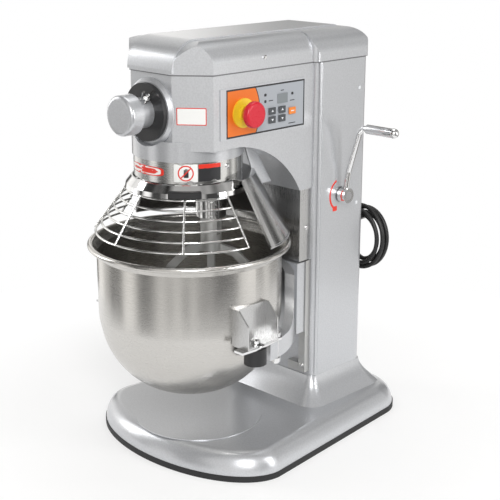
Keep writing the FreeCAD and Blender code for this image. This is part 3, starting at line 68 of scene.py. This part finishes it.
# ---- Meshes from arrays ----
def surface(name, points, body, finish, closed_u=False, closed_v=False, caps=False, smooth=True):
    """A grid of points, one row per u and one column per v, joined by four-sided faces.

    A closed direction joins its last row to its first. Caps close the first and last rows of a tube.
    """
    rows, columns = points.shape[:2]
    index = np.arange(rows * columns).reshape(rows, columns)
    down = np.roll(index, -1, axis=0) if closed_u else index[1:]
    here = index if closed_u else index[:-1]
    if closed_v:
        across = lambda block: np.roll(block, -1, axis=1)
        quads = np.stack([here, down, across(down), across(here)], axis=-1)
    else:
        quads = np.stack([here[:, :-1], down[:, :-1], down[:, 1:], here[:, 1:]], axis=-1)
    faces = quads.reshape(-1, 4).tolist()
    if caps:
        faces += [index[0].tolist(), index[-1][::-1].tolist()]
    mesh = bpy.data.meshes.new(name)
    mesh.from_pydata(points.reshape(-1, 3).tolist(), [], faces)
    mesh.update()
    mesh.shade_smooth() if smooth else mesh.shade_flat()
    piece = bpy.data.objects.new(name, mesh)
    bpy.context.scene.collection.objects.link(piece)
    mesh.materials.append(finish)
    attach(piece, body)
    return piece


# ---- Finishes ----
class Finish:
    """A node material made step by step: coordinates, patterns and one surface shader."""

    def __init__(self, name, colour, rough=0.5, metal=0.0, coat=0.0):
        self.material = bpy.data.materials.new(name)
        self.material.use_nodes = True
        self.tree = self.material.node_tree
        self.shader = self.tree.nodes["Principled BSDF"]
        self.shader.inputs["Base Color"].default_value = (*colour, 1)
        self.shader.inputs["Roughness"].default_value = rough
        self.shader.inputs["Metallic"].default_value = metal
        self.shader.inputs["Coat Weight"].default_value = coat
        self.shader.inputs["Coat Roughness"].default_value = 0.15
        self.colour = (*colour, 1)
        self.places = self.tree.nodes.new("ShaderNodeTexCoord").outputs["Object"]
        self.bump_end = None

    def add(self, kind, **inputs):
        node = self.tree.nodes.new(kind)
        for key, value in inputs.items():
            key = key.replace("_", " ")
            if hasattr(value, "links"):
                self.tree.links.new(value, node.inputs[key])
            else:
                node.inputs[key].default_value = value
        return node

    def stretched(self, scale=(1, 1, 1), turn=(0, 0, 0), shift=(0, 0, 0)):
        """Object coordinates scaled, turned and shifted."""
        return self.add("ShaderNodeMapping", Vector=self.places, Scale=scale, Rotation=turn,
                        Location=shift).outputs["Vector"]

    def noise(self, scale, detail=3.0, rough=0.55, at=None):
        return self.add("ShaderNodeTexNoise", Vector=at or self.places, Scale=scale, Detail=detail,
                        Roughness=rough).outputs["Fac"]

    def ramp(self, value, low, high, to_low=0.0, to_high=1.0):
        node = self.tree.nodes.new("ShaderNodeMapRange")
        self.tree.links.new(value, node.inputs["Value"])
        for key, number in (("From Min", low), ("From Max", high), ("To Min", to_low), ("To Max", to_high)):
            node.inputs[key].default_value = number
        return node.outputs["Result"]

    def maths(self, kind, first, second=0.0, third=None):
        node = self.tree.nodes.new("ShaderNodeMath")
        node.operation = kind
        for slot, value in zip(node.inputs, (first, second, third)):
            if value is None:
                continue
            if hasattr(value, "links"):
                self.tree.links.new(value, slot)
            else:
                slot.default_value = value
        return node.outputs[0]

    def axes(self):
        """The three object coordinates, in millimetres."""
        parts = self.add("ShaderNodeSeparateXYZ", Vector=self.stretched((1000, 1000, 1000)))
        return parts.outputs["X"], parts.outputs["Y"], parts.outputs["Z"]

    def tint(self, mask, colour):
        """Lays a colour over the base colour where the mask is one."""
        mix = self.tree.nodes.new("ShaderNodeMix")
        mix.data_type = "RGBA"
        self.tree.links.new(mask, mix.inputs[0])
        source = self.shader.inputs["Base Color"]
        if source.is_linked:
            self.tree.links.new(source.links[0].from_socket, mix.inputs[6])
        else:
            mix.inputs[6].default_value = self.colour
        mix.inputs[7].default_value = (*colour, 1)
        self.tree.links.new(mix.outputs[2], source)
        return self

    def roughness(self, value):
        self.tree.links.new(value, self.shader.inputs["Roughness"])
        return self

    def bump(self, height, depth_mm, strength=1.0):
        """Adds a relief of the given depth on top of any before it."""
        node = self.tree.nodes.new("ShaderNodeBump")
        node.inputs["Strength"].default_value = strength
        node.inputs["Distance"].default_value = depth_mm * MM
        self.tree.links.new(height, node.inputs["Height"])
        if self.bump_end:
            self.tree.links.new(self.bump_end, node.inputs["Normal"])
        self.bump_end = node.outputs["Normal"]
        self.tree.links.new(self.bump_end, self.shader.inputs["Normal"])
        return self


def hammered_paint(name, colour, shade=0.82):
    """Two-tone hammer paint: fine rounded dimples with darker hollows."""
    made = Finish(name, colour, rough=0.30, metal=0.55, coat=0.5)
    dimples = made.noise(380, 1.0, 0.4)
    made.tint(made.ramp(dimples, 0.35, 0.65, 0.0, 0.45), [part * shade for part in colour])
    return made.bump(dimples, 0.04, 0.3)


def with_painted_seam_shadow(made, low, high):
    """Darkens the band of a finish that lies between two heights: a painted shadow under the lip where the top
    cover overhangs the head.
    """
    z = made.axes()[2]
    band = made.maths("MULTIPLY", made.maths("GREATER_THAN", z, low), made.maths("LESS_THAN", z, high))
    # painted shadow: the band is mixed three quarters of the way to near black
    return made.tint(made.maths("MULTIPLY", band, 0.75), (0.08, 0.08, 0.085))


def drawn_steel(name, colour, rough=0.28, along="z", grain=0.5):
    """Brushed stainless: fine scratches stretched along or round an axis, over faint clouding."""
    made = Finish(name, colour, rough=rough, metal=1.0)
    long = {"x": (60, 2600, 2600), "y": (2600, 60, 2600), "z": (2600, 2600, 60), "round": (60, 60, 3200)}[along]
    scratches = made.noise(1.0, 4.0, 0.7, at=made.stretched(long))
    cloud = made.noise(9, 2.0)
    made.tint(made.ramp(scratches, 0.35, 0.7, 0.0, 0.22), [part * 0.72 for part in colour])
    total = made.maths("ADD", made.ramp(scratches, 0.3, 0.7, rough - 0.06 * grain, rough + 0.14 * grain),
                       made.ramp(cloud, 0.3, 0.7, -0.03, 0.04))
    return made.roughness(total).bump(scratches, 0.05, 0.35 * grain)


def bright_metal(name, colour, rough=0.08):
    """Polished metal with faint wipe marks and small pits."""
    made = Finish(name, colour, rough=rough, metal=1.0)
    wipe = made.noise(35, 4.0, 0.6)
    made.roughness(made.ramp(wipe, 0.3, 0.75, rough * 0.7, rough * 2.0))
    return made.bump(made.noise(260, 2.0), 0.03, 0.25)


def machined(name, colour, rough=0.32):
    """Turned steel: fine rings of tool marks and an oily bloom."""
    made = Finish(name, colour, rough=rough, metal=1.0)
    rings = made.noise(1.0, 3.0, 0.6, at=made.stretched((90, 90, 2400)))
    made.tint(made.ramp(made.noise(25), 0.4, 0.75, 0.0, 0.35), [part * 0.6 for part in colour])
    return made.roughness(made.ramp(rings, 0.3, 0.7, rough - 0.08, rough + 0.12)).bump(rings, 0.05, 0.3)


def moulded(name, colour, rough=0.42, grain_mm=0.08, scale=900, wear=0.12):
    """Moulded plastic or rubber: a fine even grain and slightly paler rubbed spots."""
    made = Finish(name, colour, rough=rough)
    grain = made.noise(scale, 3.0)
    rub = made.noise(30, 3.0)
    paler = [min(1.0, part * 1.6 + 0.02) for part in colour]
    made.tint(made.ramp(rub, 0.5, 0.8, 0.0, wear), paler)
    return made.roughness(made.ramp(grain, 0.3, 0.7, rough - 0.07, rough + 0.09)).bump(grain, grain_mm, 0.5)


def cast_metal(name, colour, rough=0.42):
    """Sand-cast alloy: soft pores under a dull sheen."""
    made = Finish(name, colour, rough=rough, metal=0.9)
    pores = made.noise(420, 4.0, 0.65)
    made.tint(made.ramp(pores, 0.5, 0.8, 0.0, 0.35), [part * 0.7 for part in colour])
    return made.roughness(made.ramp(made.noise(40), 0.3, 0.7, rough - 0.08, rough + 0.1)).bump(pores, 0.15, 0.5)


paint = hammered_paint("hammer_paint", (0.56, 0.57, 0.59)).material
# The head and cover paints carry a painted shadow band along the joint under the cover's lip.
head_paint = with_painted_seam_shadow(hammered_paint("head_paint", (0.56, 0.57, 0.59)), 694.9, 697).material
cover_paint = with_painted_seam_shadow(hammered_paint("cover_paint", (0.57, 0.58, 0.60)), 690, 697.3).material
bowl_steel = drawn_steel("bowl_steel", (0.62, 0.605, 0.58), 0.24, "round").material
sheet_steel = drawn_steel("sheet_steel", (0.60, 0.60, 0.60), 0.25, "z").material
ring_steel = drawn_steel("ring_steel", (0.64, 0.64, 0.63), 0.20, "round", 0.7).material
shield_steel = drawn_steel("shield_steel", (0.56, 0.56, 0.56), 0.16, "z", 0.6).material
rail_steel = drawn_steel("rail_steel", (0.58, 0.58, 0.57), 0.30, "z").material
bright = bright_metal("bright_chrome", (0.80, 0.80, 0.80)).material
wire_bright = bright_metal("wire_chrome", (0.78, 0.78, 0.77), 0.13).material
sleeve_bright = bright_metal("sleeve_chrome", (0.74, 0.74, 0.74), 0.11).material
turned_steel = machined("turned_steel", (0.46, 0.46, 0.47)).material
alloy = cast_metal("beater_alloy", (0.66, 0.66, 0.65)).material
edge_rubber = moulded("edge_rubber", (0.012, 0.012, 0.013), 0.62, 0.12, 700).material
black_plastic = moulded("black_plastic", (0.018, 0.018, 0.019), 0.38).material
knob_plastic = moulded("knob_plastic", (0.015, 0.015, 0.016), 0.45).material
red_plastic = moulded("red_plastic", (0.58, 0.012, 0.03), 0.30, 0.04, 700, 0.05).material
yellow_plastic = moulded("yellow_plastic", (0.80, 0.58, 0.03), 0.34, 0.04, 700, 0.05).material
key_dark = moulded("key_dark", (0.06, 0.065, 0.072), 0.42).material
key_orange = moulded("key_orange", (0.78, 0.22, 0.03), 0.42, 0.04, 800, 0.05).material
motor_paint = hammered_paint("motor_paint", (0.07, 0.11, 0.16)).material
belt_rubber = moulded("belt_rubber", (0.02, 0.02, 0.02), 0.6, 0.2, 500).material
cord_rubber = moulded("cord_rubber", (0.012, 0.012, 0.012), 0.45, 0.06, 900).material

FINISHES = {
    "base_casting": paint, "column_casting": head_paint, "head_casting": head_paint, "top_cover": cover_paint,
    "bowl_yoke": paint, "back_cover": paint, "rubber_edge": edge_rubber,
    "neck_ring": ring_steel, "splash_shield": shield_steel, "slide_cover": sheet_steel,
    "slide_rails": rail_steel,
    "bowl": bowl_steel, "bowl_ears": sheet_steel, "hub_neck": paint, "cord_hook": sheet_steel,
    "guard_ring": bright, "wire_guard": wire_bright, "crank_arm": bright, "clamp_plate_left": bright,
    "clamp_plate_right": bright, "clamp_bolts": bright, "case_screws": bright, "thumb_screw": bright,
    "hub_plug": paint, "beater_shaft": sleeve_bright, "flat_beater": alloy, "planet_carrier": alloy,
    "lift_rack": turned_steel, "crank_shaft": turned_steel, "crank_bush": turned_steel,
    "main_spindle": turned_steel, "main_gear": turned_steel, "ring_gear": turned_steel,
    "bearings": turned_steel, "inner_shelves": turned_steel, "hub_shaft": turned_steel,
    "counter_shaft": turned_steel, "motor_shaft": turned_steel, "gear_dial": sheet_steel,
    "guard_grip": black_plastic, "clamp_knob_left": knob_plastic, "clamp_knob_right": knob_plastic,
    "hub_disc": black_plastic, "crank_grip": bright, "gear_lever": black_plastic,
    "cord_gland": cord_rubber, "mains_plug": cord_rubber,
    "stop_ring": yellow_plastic, "stop_button": red_plastic,
    "key_timer_up": key_dark, "key_timer_down": key_dark, "key_hold_up": key_dark, "key_hold_down": key_dark,
    "key_start": key_orange, "motor": motor_paint, "drive_belt": belt_rubber,
}


def panel_finish():
    """Printed film: a grey field with a dark border, a warm field left of an arc, and a dark display window."""
    made = Finish("panel_film", (0.36, 0.38, 0.41), rough=0.36)
    x, y, z = made.axes()
    edge_y = made.maths("ABSOLUTE", made.maths("SUBTRACT", y, 85.5))
    edge_z = made.maths("ABSOLUTE", made.maths("SUBTRACT", z, 629.0))
    within = lambda half_y, half_z: made.maths("MULTIPLY", made.maths("LESS_THAN", edge_y, half_y),
                                               made.maths("LESS_THAN", edge_z, half_z))
    film, inside = within(96.5, 41.0), within(93.5, 38.0)
    across = made.maths("ADD", y, 10.0)
    up = made.maths("SUBTRACT", z, 628.0)
    reach = made.maths("SQRT", made.maths("ADD", made.maths("MULTIPLY", across, across),
                                          made.maths("MULTIPLY", up, up)))
    warm = made.maths("LESS_THAN", reach, 78.0)
    line = made.maths("LESS_THAN", made.maths("ABSOLUTE", made.maths("SUBTRACT", reach, 78.8)), 0.9)
    window = made.maths("GREATER_THAN", x, 107.6)
    made.tint(warm, (0.74, 0.16, 0.01))
    made.tint(made.maths("MULTIPLY", line, inside), (0.02, 0.02, 0.02))
    made.tint(made.maths("SUBTRACT", 1.0, inside), (0.02, 0.02, 0.022))
    made.tint(made.maths("SUBTRACT", 1.0, film), (0.50, 0.51, 0.53))
    made.tint(window, (0.20, 0.22, 0.23))
    grain = made.noise(700)
    return made.roughness(made.ramp(grain, 0.3, 0.7, 0.32, 0.46)).bump(grain, 0.05, 0.4)


FINISHES["control_panel"] = panel_finish().material
for node, made in FINISHES.items():
    for holder in NODES[node].material_slots:
        holder.material = made

# ---- Mains cord ----
ROUTE_UP = [(-20, 377, 185), (-20, 403, 185), (-19, 424, 197), (-15, 435, 218), (-6, 436, 241),
            (10, 428, 260), (30, 415, 270), (48, 405, 274), (66, 397, 275)]
ROUTE_DOWN = [(34, 384, 325), (31, 383, 298), (31, 382, 268), (33, 381, 238), (33, 381, 204)]
LOOPS, PER_LOOP = 4.75, 14
CORD_R = 4.2


def loop_points():
    """Loose upright loops from the bottom round to the left.

    A loop's centre line is an oval. Its size and depth move round a small oval of their own, a fifth of
    a turn for each loop, so that neighbouring strands lie a little over a diameter apart.
    """
    turn = np.linspace(0, LOOPS, int(LOOPS * PER_LOOP) + 1)[:-1]
    angle = math.radians(270) + 2 * math.pi * turn
    shift = math.radians(40) + math.radians(69) * turn
    grow, depth = 8.6 * np.cos(shift), 13.6 * np.sin(shift)
    middle_x, middle_y, middle_z = 88, 382, 338
    half_x, half_z = 47.5 + grow, 55.5 + grow
    return np.stack([middle_x + half_x * np.cos(angle), middle_y + depth,
                     middle_z + half_z * np.sin(angle)], axis=1)


def mains_cord():
    """One round cord along the gland's run, the loops and the run down to the plug."""
    route = np.concatenate([np.array(ROUTE_UP, float), loop_points(), np.array(ROUTE_DOWN, float)]) * MM
    curve = bpy.data.curves.new("mains_cord", "CURVE")
    curve.dimensions = "3D"
    curve.bevel_depth = CORD_R * MM
    curve.bevel_resolution = 5
    curve.resolution_u = 8
    curve.use_fill_caps = True
    line = curve.splines.new("NURBS")
    line.points.add(len(route) - 1)
    line.points.foreach_set("co", np.concatenate([route, np.ones((len(route), 1))], axis=1).ravel())
    line.order_u = 3
    line.use_endpoint_u = True
    curve.materials.append(cord_rubber)
    piece = bpy.data.objects.new("mains_cord", curve)
    bpy.context.scene.collection.objects.link(piece)
    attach(piece, "frame")
    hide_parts("cord_rise", "cord_coil", "cord_tail")


mains_cord()

# ---- Labels and small marks ----
white_film = moulded("white_film", (0.82, 0.82, 0.80), 0.35, 0.02, 900, 0.05).material
red_film = moulded("red_film", (0.70, 0.03, 0.015), 0.35, 0.02, 900, 0.05).material
black_film = moulded("black_film", (0.02, 0.02, 0.022), 0.38, 0.02, 900, 0.05).material
pale_mark = moulded("pale_mark", (0.72, 0.74, 0.76), 0.4, 0.02, 900, 0.05).material


SIDE_X = 113.5


def frame_of(half_across, half_up, corner, count=48):
    """A closed rounded rectangle: a superellipse whose power grows as the corner shrinks."""
    power = 2 + 2.2 * min(half_across, half_up) / max(corner, 0.1)
    angle = np.linspace(0, 2 * math.pi, count, endpoint=False)
    c, s = np.cos(angle), np.sin(angle)
    return np.stack([half_across * np.sign(c) * np.abs(c) ** (2 / power),
                     half_up * np.sign(s) * np.abs(s) ** (2 / power)], axis=1)


def between(corners, count=6):
    """A closed outline with evenly spaced points along each straight side."""
    steps = np.linspace(0, 1, count, endpoint=False)[None, :, None]
    return (corners[:, None] * (1 - steps) + np.roll(corners, -1, axis=0)[:, None] * steps).reshape(-1, 2)


def domed(outline, thick):
    """Rings drawn in from an outline to its middle, low at the rim and level inside.

    Ring k is the outline times share k, raised by thick times height k.
    """
    share = np.array([1.0, 1.0, 0.985, 0.95, 0.6, 0.02])
    height = np.array([0.0, 0.7, 0.95, 1.0, 1.0, 1.0]) * thick
    flat = outline[None, :, :] * share[:, None, None]
    return np.concatenate([flat, np.broadcast_to(height[:, None, None], flat.shape[:2] + (1,))], axis=2)


def on_plane(points, middle, across, up):
    """Carries (across, up, out) to a plane through the middle."""
    across, up = np.array(across, float), np.array(up, float)
    across /= np.linalg.norm(across)
    up /= np.linalg.norm(up)
    out = np.cross(across, up)
    return (np.array(middle, float) + points[..., 0:1] * across + points[..., 1:2] * up
            + points[..., 2:3] * out) * MM


def on_ring(points, radius, degrees, height):
    """Wraps (across, up, out) round an upright cylinder: across becomes an arc length."""
    angle = math.radians(degrees) + points[..., 0] / radius
    reach = radius + points[..., 2]
    return np.stack([reach * np.cos(angle), reach * np.sin(angle), height + points[..., 1]], axis=-1) * MM


def sticker(name, outline, thick, finish, place, body="frame"):
    """A thin domed plate laid on the object by the given placing function."""
    points = place(domed(outline, thick))
    piece = surface(name, points, body, finish, closed_v=True, caps=True)
    return piece


def ring_outline(radius, width, count=48):
    """A flat ring as a grid: two circles with a low rounded top between them."""
    angle = np.linspace(0, 2 * math.pi, count, endpoint=False)
    across = np.array([-0.5, -0.4, 0.0, 0.4, 0.5]) * width + radius
    lift = np.array([0.0, 0.8, 1.0, 0.8, 0.0])
    return np.stack([across[:, None] * np.cos(angle), across[:, None] * np.sin(angle),
                     np.broadcast_to(lift[:, None], (5, count))], axis=-1)


NECK_R, LABEL_Z = 95.4, 533
ARROW_AT, SIGN_AT, NOTICE_AT = -94.5, -45.3, -20.2
FILM = 0.30


def neck_labels():
    """Three film labels on the neck ring: a direction mark, a keep-out sign and a notice without words."""
    on_neck = lambda degrees: (lambda points: on_ring(points, NECK_R, degrees, LABEL_Z))
    sticker("direction_edge", frame_of(44, 7.9, 7.9), FILM, red_film, on_neck(ARROW_AT))
    sticker("direction_field", frame_of(42.4, 6.3, 6.3), 0.42, white_film, on_neck(ARROW_AT - 2.5))
    arrow = np.array([(-34, -1.4), (-6, -1.4), (-6, -4.6), (22, -4.2), (34, 0), (22, 4.2), (-6, 4.6), (-6, 1.4),
                      (-34, 1.4)], float)
    sticker("direction_mark", between(arrow), 0.54, red_film, on_neck(ARROW_AT))
    sticker("sign_field", frame_of(20.2, 15.3, 1.2), FILM, white_film, on_neck(SIGN_AT))
    ring = ring_outline(12.4, 2.2) * np.array([1, 1, 0.2]) + np.array([0, 0, FILM])
    surface("sign_ring", on_neck(SIGN_AT)(ring), "frame", red_film, closed_v=True)
    bar = domed(frame_of(12.0, 1.0, 0.5), 0.2) + np.array([0, 0, 0.42])
    turn = math.radians(45)
    slant = np.array([[math.cos(turn), math.sin(turn)], [-math.sin(turn), math.cos(turn)]])
    bar[..., :2] = bar[..., :2] @ slant
    surface("sign_bar", on_neck(SIGN_AT)(bar), "frame", red_film, closed_v=True, caps=True)
    palm = domed(frame_of(4.2, 4.6, 2.0), 0.12) + np.array([0.6, -3.0, FILM])
    surface("sign_palm", on_neck(SIGN_AT)(palm), "frame", black_film, closed_v=True, caps=True)
    for index, (across, high) in enumerate(((-2.6, 5.0), (-0.6, 6.2), (1.5, 6.4), (3.5, 5.4))):
        finger = domed(frame_of(0.85, high / 2 + 1.4, 0.8), 0.12) + np.array([across + 0.3, high / 2, FILM])
        surface("sign_finger_%d" % index, on_neck(SIGN_AT)(finger), "frame", black_film,
                closed_v=True, caps=True)
    sticker("notice_field", frame_of(20.2, 14.8, 1.0), FILM, black_film, on_neck(NOTICE_AT))
    top = domed(frame_of(20.2, 3.6, 0.8), 0.12) + np.array([0, 11.2, FILM])
    surface("notice_top", on_neck(NOTICE_AT)(top), "frame", red_film, closed_v=True, caps=True)


def head_label():
    """A blank framed label on the right chamfer of the head."""
    low, high = np.array([51.0, -82.0]), np.array([104.5, -38.5])
    along = (high - low) / np.linalg.norm(high - low)
    middle = [*(low + (high - low) * 0.47), 629.0]
    place = lambda points: on_plane(points, middle, (*along, 0), (0, 0, 1))
    sticker("notice_edge", frame_of(25, 14.5, 0.8), 0.30, red_film, place)
    sticker("notice_plate", frame_of(23.6, 13.1, 0.8), 0.40, white_film, place)


def key_marks():
    """Small arrow heads on the dark keys, and lamps above them."""
    key_x, film_x = 109.5, 106.5
    side = lambda y, z, x=key_x: (lambda points: on_plane(points, (x, y, z), (0, 1, 0), (0, 0, 1)))
    for index, (y, z, turn) in enumerate(((97.5, 623, 1), (97.5, 608, -1), (122.5, 623, 1), (122.5, 608, -1))):
        angle = np.radians(np.array([90, 210, 330]))
        corner = np.stack([3.2 * np.cos(angle), 2.6 * np.sin(angle) * turn], axis=1)
        edge = np.concatenate([np.linspace(start, end, 8, endpoint=False)
                               for start, end in zip(corner, np.roll(corner, -1, axis=0))])
        edge = edge if turn > 0 else edge[::-1]
        sticker("key_mark_%d" % index, edge, 0.12, pale_mark, side(y, z))
    sticker("start_mark", frame_of(4.2, 0.9, 0.5), 0.12, pale_mark, side(148.5, 618))
    for index, (y, z) in enumerate(((82, 652), (82, 641), (150, 648))):
        sticker("lamp_%d" % index, frame_of(2.3, 2.3, 2.3), 0.9, black_film, side(y, z, film_x))
    for index, (y, z, half) in enumerate(((96, 641, 5.5), (124.5, 656, 4.0), (150, 636, 6.0), (150, 596, 9.0))):
        sticker("print_%d" % index, frame_of(half, 0.8, 0.4), 0.1, black_film, side(y, z, film_x))


def bead(name, points, radius):
    """A half-round ridge along a path: a half circle carried from point to point."""
    path = np.array(points, float)
    angle = np.linspace(-math.pi / 2, math.pi / 2, 9)
    out = np.array([1.0, 0, 0])
    ahead = path[-1] - path[0]
    side = np.cross(ahead / np.linalg.norm(ahead), out)
    ring = radius * (np.cos(angle)[:, None] * out * 0.6 + np.sin(angle)[:, None] * side)
    share = np.linspace(0, 1, 24)[:, None]
    grid = (path[0] + share * ahead)[:, None, :] + ring[None, :, :]
    piece = surface(name, grid * MM, "frame", paint)


def shield_bracket():
    """A cast arm from the underside of the head to the back of the shield: a domed plate on its side."""
    edge = np.array([(77, 570), (100, 570), (112, 540), (130, 510),
                     (147, 483), (113, 483), (97, 512), (84, 545)], float)
    middle = edge.mean(axis=0)
    outline = between(edge) - middle
    place = lambda points: on_plane(points, (58, *middle), (0, 1, 0), (0, 0, 1))
    piece = surface("shield_bracket", place(domed(outline[::-1], 3.0)), "frame", paint,
                    closed_v=True, caps=True)


def crank_mark():
    """A red curved arrow beside the crank, with a small end block, and two rivet heads on the side."""
    crank_y, crank_z, reach = 280, 445, 30
    angle = np.radians(np.linspace(115, 235, 24))
    across = np.array([-2.2, -1.9, 0.0, 1.9, 2.2]) + reach
    lift = np.array([0.0, 0.25, 0.3, 0.25, 0.0])
    band = np.stack([across[:, None] * np.cos(angle), across[:, None] * np.sin(angle),
                     np.broadcast_to(lift[:, None], (5, 24))], axis=-1)
    place = lambda points: on_plane(points, (SIDE_X, crank_y, crank_z), (0, 1, 0), (0, 0, 1))
    surface("crank_mark", place(band), "frame", red_film)
    end = math.radians(238)
    tip = frame_of(6, 4.5, 0.8, 24) + reach * np.array([math.cos(end), math.sin(end)])
    middle = tip.mean(axis=0)
    head = domed(tip - middle, 0.35) + np.array([*middle, 0])
    surface("crank_mark_head", place(head), "frame", red_film, closed_v=True, caps=True)
    for index, (y, z) in enumerate(((326, 421), (326, 640))):
        sticker("side_rivet_%d" % index, frame_of(3, 3, 3), 1.4, pale_mark,
                lambda points, y=y, z=z: on_plane(points, (SIDE_X, y, z), (0, 1, 0), (0, 0, 1)))


neck_labels()
head_label()
shield_bracket()
crank_mark()
key_marks()
for number, level in enumerate((216.5, 224.0)):
    bead("column_bead_%d" % number, [(113.4, level, 100), (113.4, level, 694)], 1.6)

# ---- Floor and light ----


def stage_floor():
    """A round sheet under the rubber edge: rings of growing radius, white where it ends."""
    rings, around, middle_y, below = 24, 64, 0.12, 0.0004
    radius = np.linspace(0.001, 0.98, rings)[:, None]
    angle = np.linspace(0, 2 * math.pi, around, endpoint=False)[None, :]
    points = np.stack([radius * np.cos(angle), middle_y + radius * np.sin(angle),
                       np.full((rings, around), -below)], axis=-1)
    index = np.arange(rings * around).reshape(rings, around)
    across = np.roll(index, -1, axis=1)
    faces = np.stack([index[:-1], index[1:], across[1:], across[:-1]], axis=-1).reshape(-1, 4).tolist()
    faces.append(index[0].tolist())
    mesh = bpy.data.meshes.new("floor")
    mesh.from_pydata(points.reshape(-1, 3).tolist(), [], faces)
    made = Finish("floor_paper", (0.50, 0.50, 0.50), rough=0.8)
    x, y, z = made.axes()
    off = made.maths("SUBTRACT", y, middle_y * 1000)
    away = made.maths("SQRT", made.maths("ADD", made.maths("MULTIPLY", x, x),
                                         made.maths("MULTIPLY", off, off)))
    near, far = 420, 820
    glow = made.ramp(away, near, far, 0.50, 1.0)
    made.shader.inputs["Emission Color"].default_value = (1, 1, 1, 1)
    made.tree.links.new(glow, made.shader.inputs["Emission Strength"])
    made.tint(made.ramp(away, near, far, 0.0, 1.0), (0.02, 0.02, 0.02))
    mesh.materials.append(made.material)
    floor = bpy.data.objects.new("floor", mesh)
    bpy.context.scene.collection.objects.link(floor)


def softbox(name, place, target, size, watts):
    """A rectangular light of the given size that faces its target."""
    data = bpy.data.lights.new(name, "AREA")
    data.shape = "RECTANGLE"
    data.size, data.size_y = size
    data.energy = watts
    light = bpy.data.objects.new(name, data)
    light.location = place
    light.rotation_euler = (Vector(target) - Vector(place)).to_track_quat("-Z", "Y").to_euler()
    bpy.context.scene.collection.objects.link(light)


stage_floor()
softbox("key_light", (2.3, -1.9, 1.9), (0, 0.1, 0.35), (0.8, 1.7), 60)
softbox("left_light", (-2.4, -1.2, 1.3), (0, 0.1, 0.4), (0.6, 1.9), 20)
softbox("top_light", (-0.3, 0.6, 2.7), (0, 0.1, 0.4), (1.4, 1.4), 14)
softbox("right_light", (2.6, 0.9, 1.2), (0, 0.1, 0.35), (0.6, 1.9), 26)


def studio_world():
    """White to the eye; in light and reflections a room that is pale above and grey at eye height.

    Broad upright bands, a noise stretched along z, stand for the dark and light walls of a studio.
    """
    world = bpy.data.worlds.new("studio")
    world.use_nodes = True
    tree = world.node_tree
    back = tree.nodes["Background"]
    back.inputs["Color"].default_value = (1, 1, 1, 1)
    back.inputs["Strength"].default_value = 1.0
    room = tree.nodes.new("ShaderNodeBackground")
    ramp = tree.nodes.new("ShaderNodeMapRange")
    bands = tree.nodes.new("ShaderNodeTexNoise")
    bands.inputs["Scale"].default_value = 1.0
    bands.inputs["Detail"].default_value = 1.0
    places = tree.nodes.new("ShaderNodeTexCoord")
    stretch = tree.nodes.new("ShaderNodeMapping")
    stretch.inputs["Scale"].default_value = (2.4, 2.4, 0.5)
    tree.links.new(places.outputs["Generated"], stretch.inputs["Vector"])
    tree.links.new(stretch.outputs["Vector"], bands.inputs["Vector"])
    for key, value in (("From Min", 0.42), ("From Max", 0.58), ("To Min", 0.06), ("To Max", 1.25)):
        ramp.inputs[key].default_value = value
    tree.links.new(bands.outputs["Fac"], ramp.inputs["Value"])
    height = tree.nodes.new("ShaderNodeSeparateXYZ")
    fade = tree.nodes.new("ShaderNodeMapRange")
    for key, value in (("From Min", 0.15), ("From Max", 0.9), ("To Min", 1.0), ("To Max", 0.35)):
        fade.inputs[key].default_value = value
    shade = tree.nodes.new("ShaderNodeMath")
    shade.operation = "MULTIPLY"
    tree.links.new(places.outputs["Generated"], height.inputs["Vector"])
    tree.links.new(height.outputs["Z"], fade.inputs["Value"])
    tree.links.new(ramp.outputs["Result"], shade.inputs[0])
    tree.links.new(fade.outputs["Result"], shade.inputs[1])
    tree.links.new(shade.outputs["Value"], room.inputs["Strength"])
    room.inputs["Color"].default_value = (1.0, 0.985, 0.96, 1)
    eye = tree.nodes.new("ShaderNodeLightPath")
    mix = tree.nodes.new("ShaderNodeMixShader")
    tree.links.new(eye.outputs["Is Camera Ray"], mix.inputs["Fac"])
    tree.links.new(room.outputs["Background"], mix.inputs[1])
    tree.links.new(back.outputs["Background"], mix.inputs[2])
    tree.links.new(mix.outputs["Shader"], tree.nodes["World Output"].inputs["Surface"])
    bpy.context.scene.world = world


studio_world()
bpy.context.scene.view_settings.view_transform = "Standard"
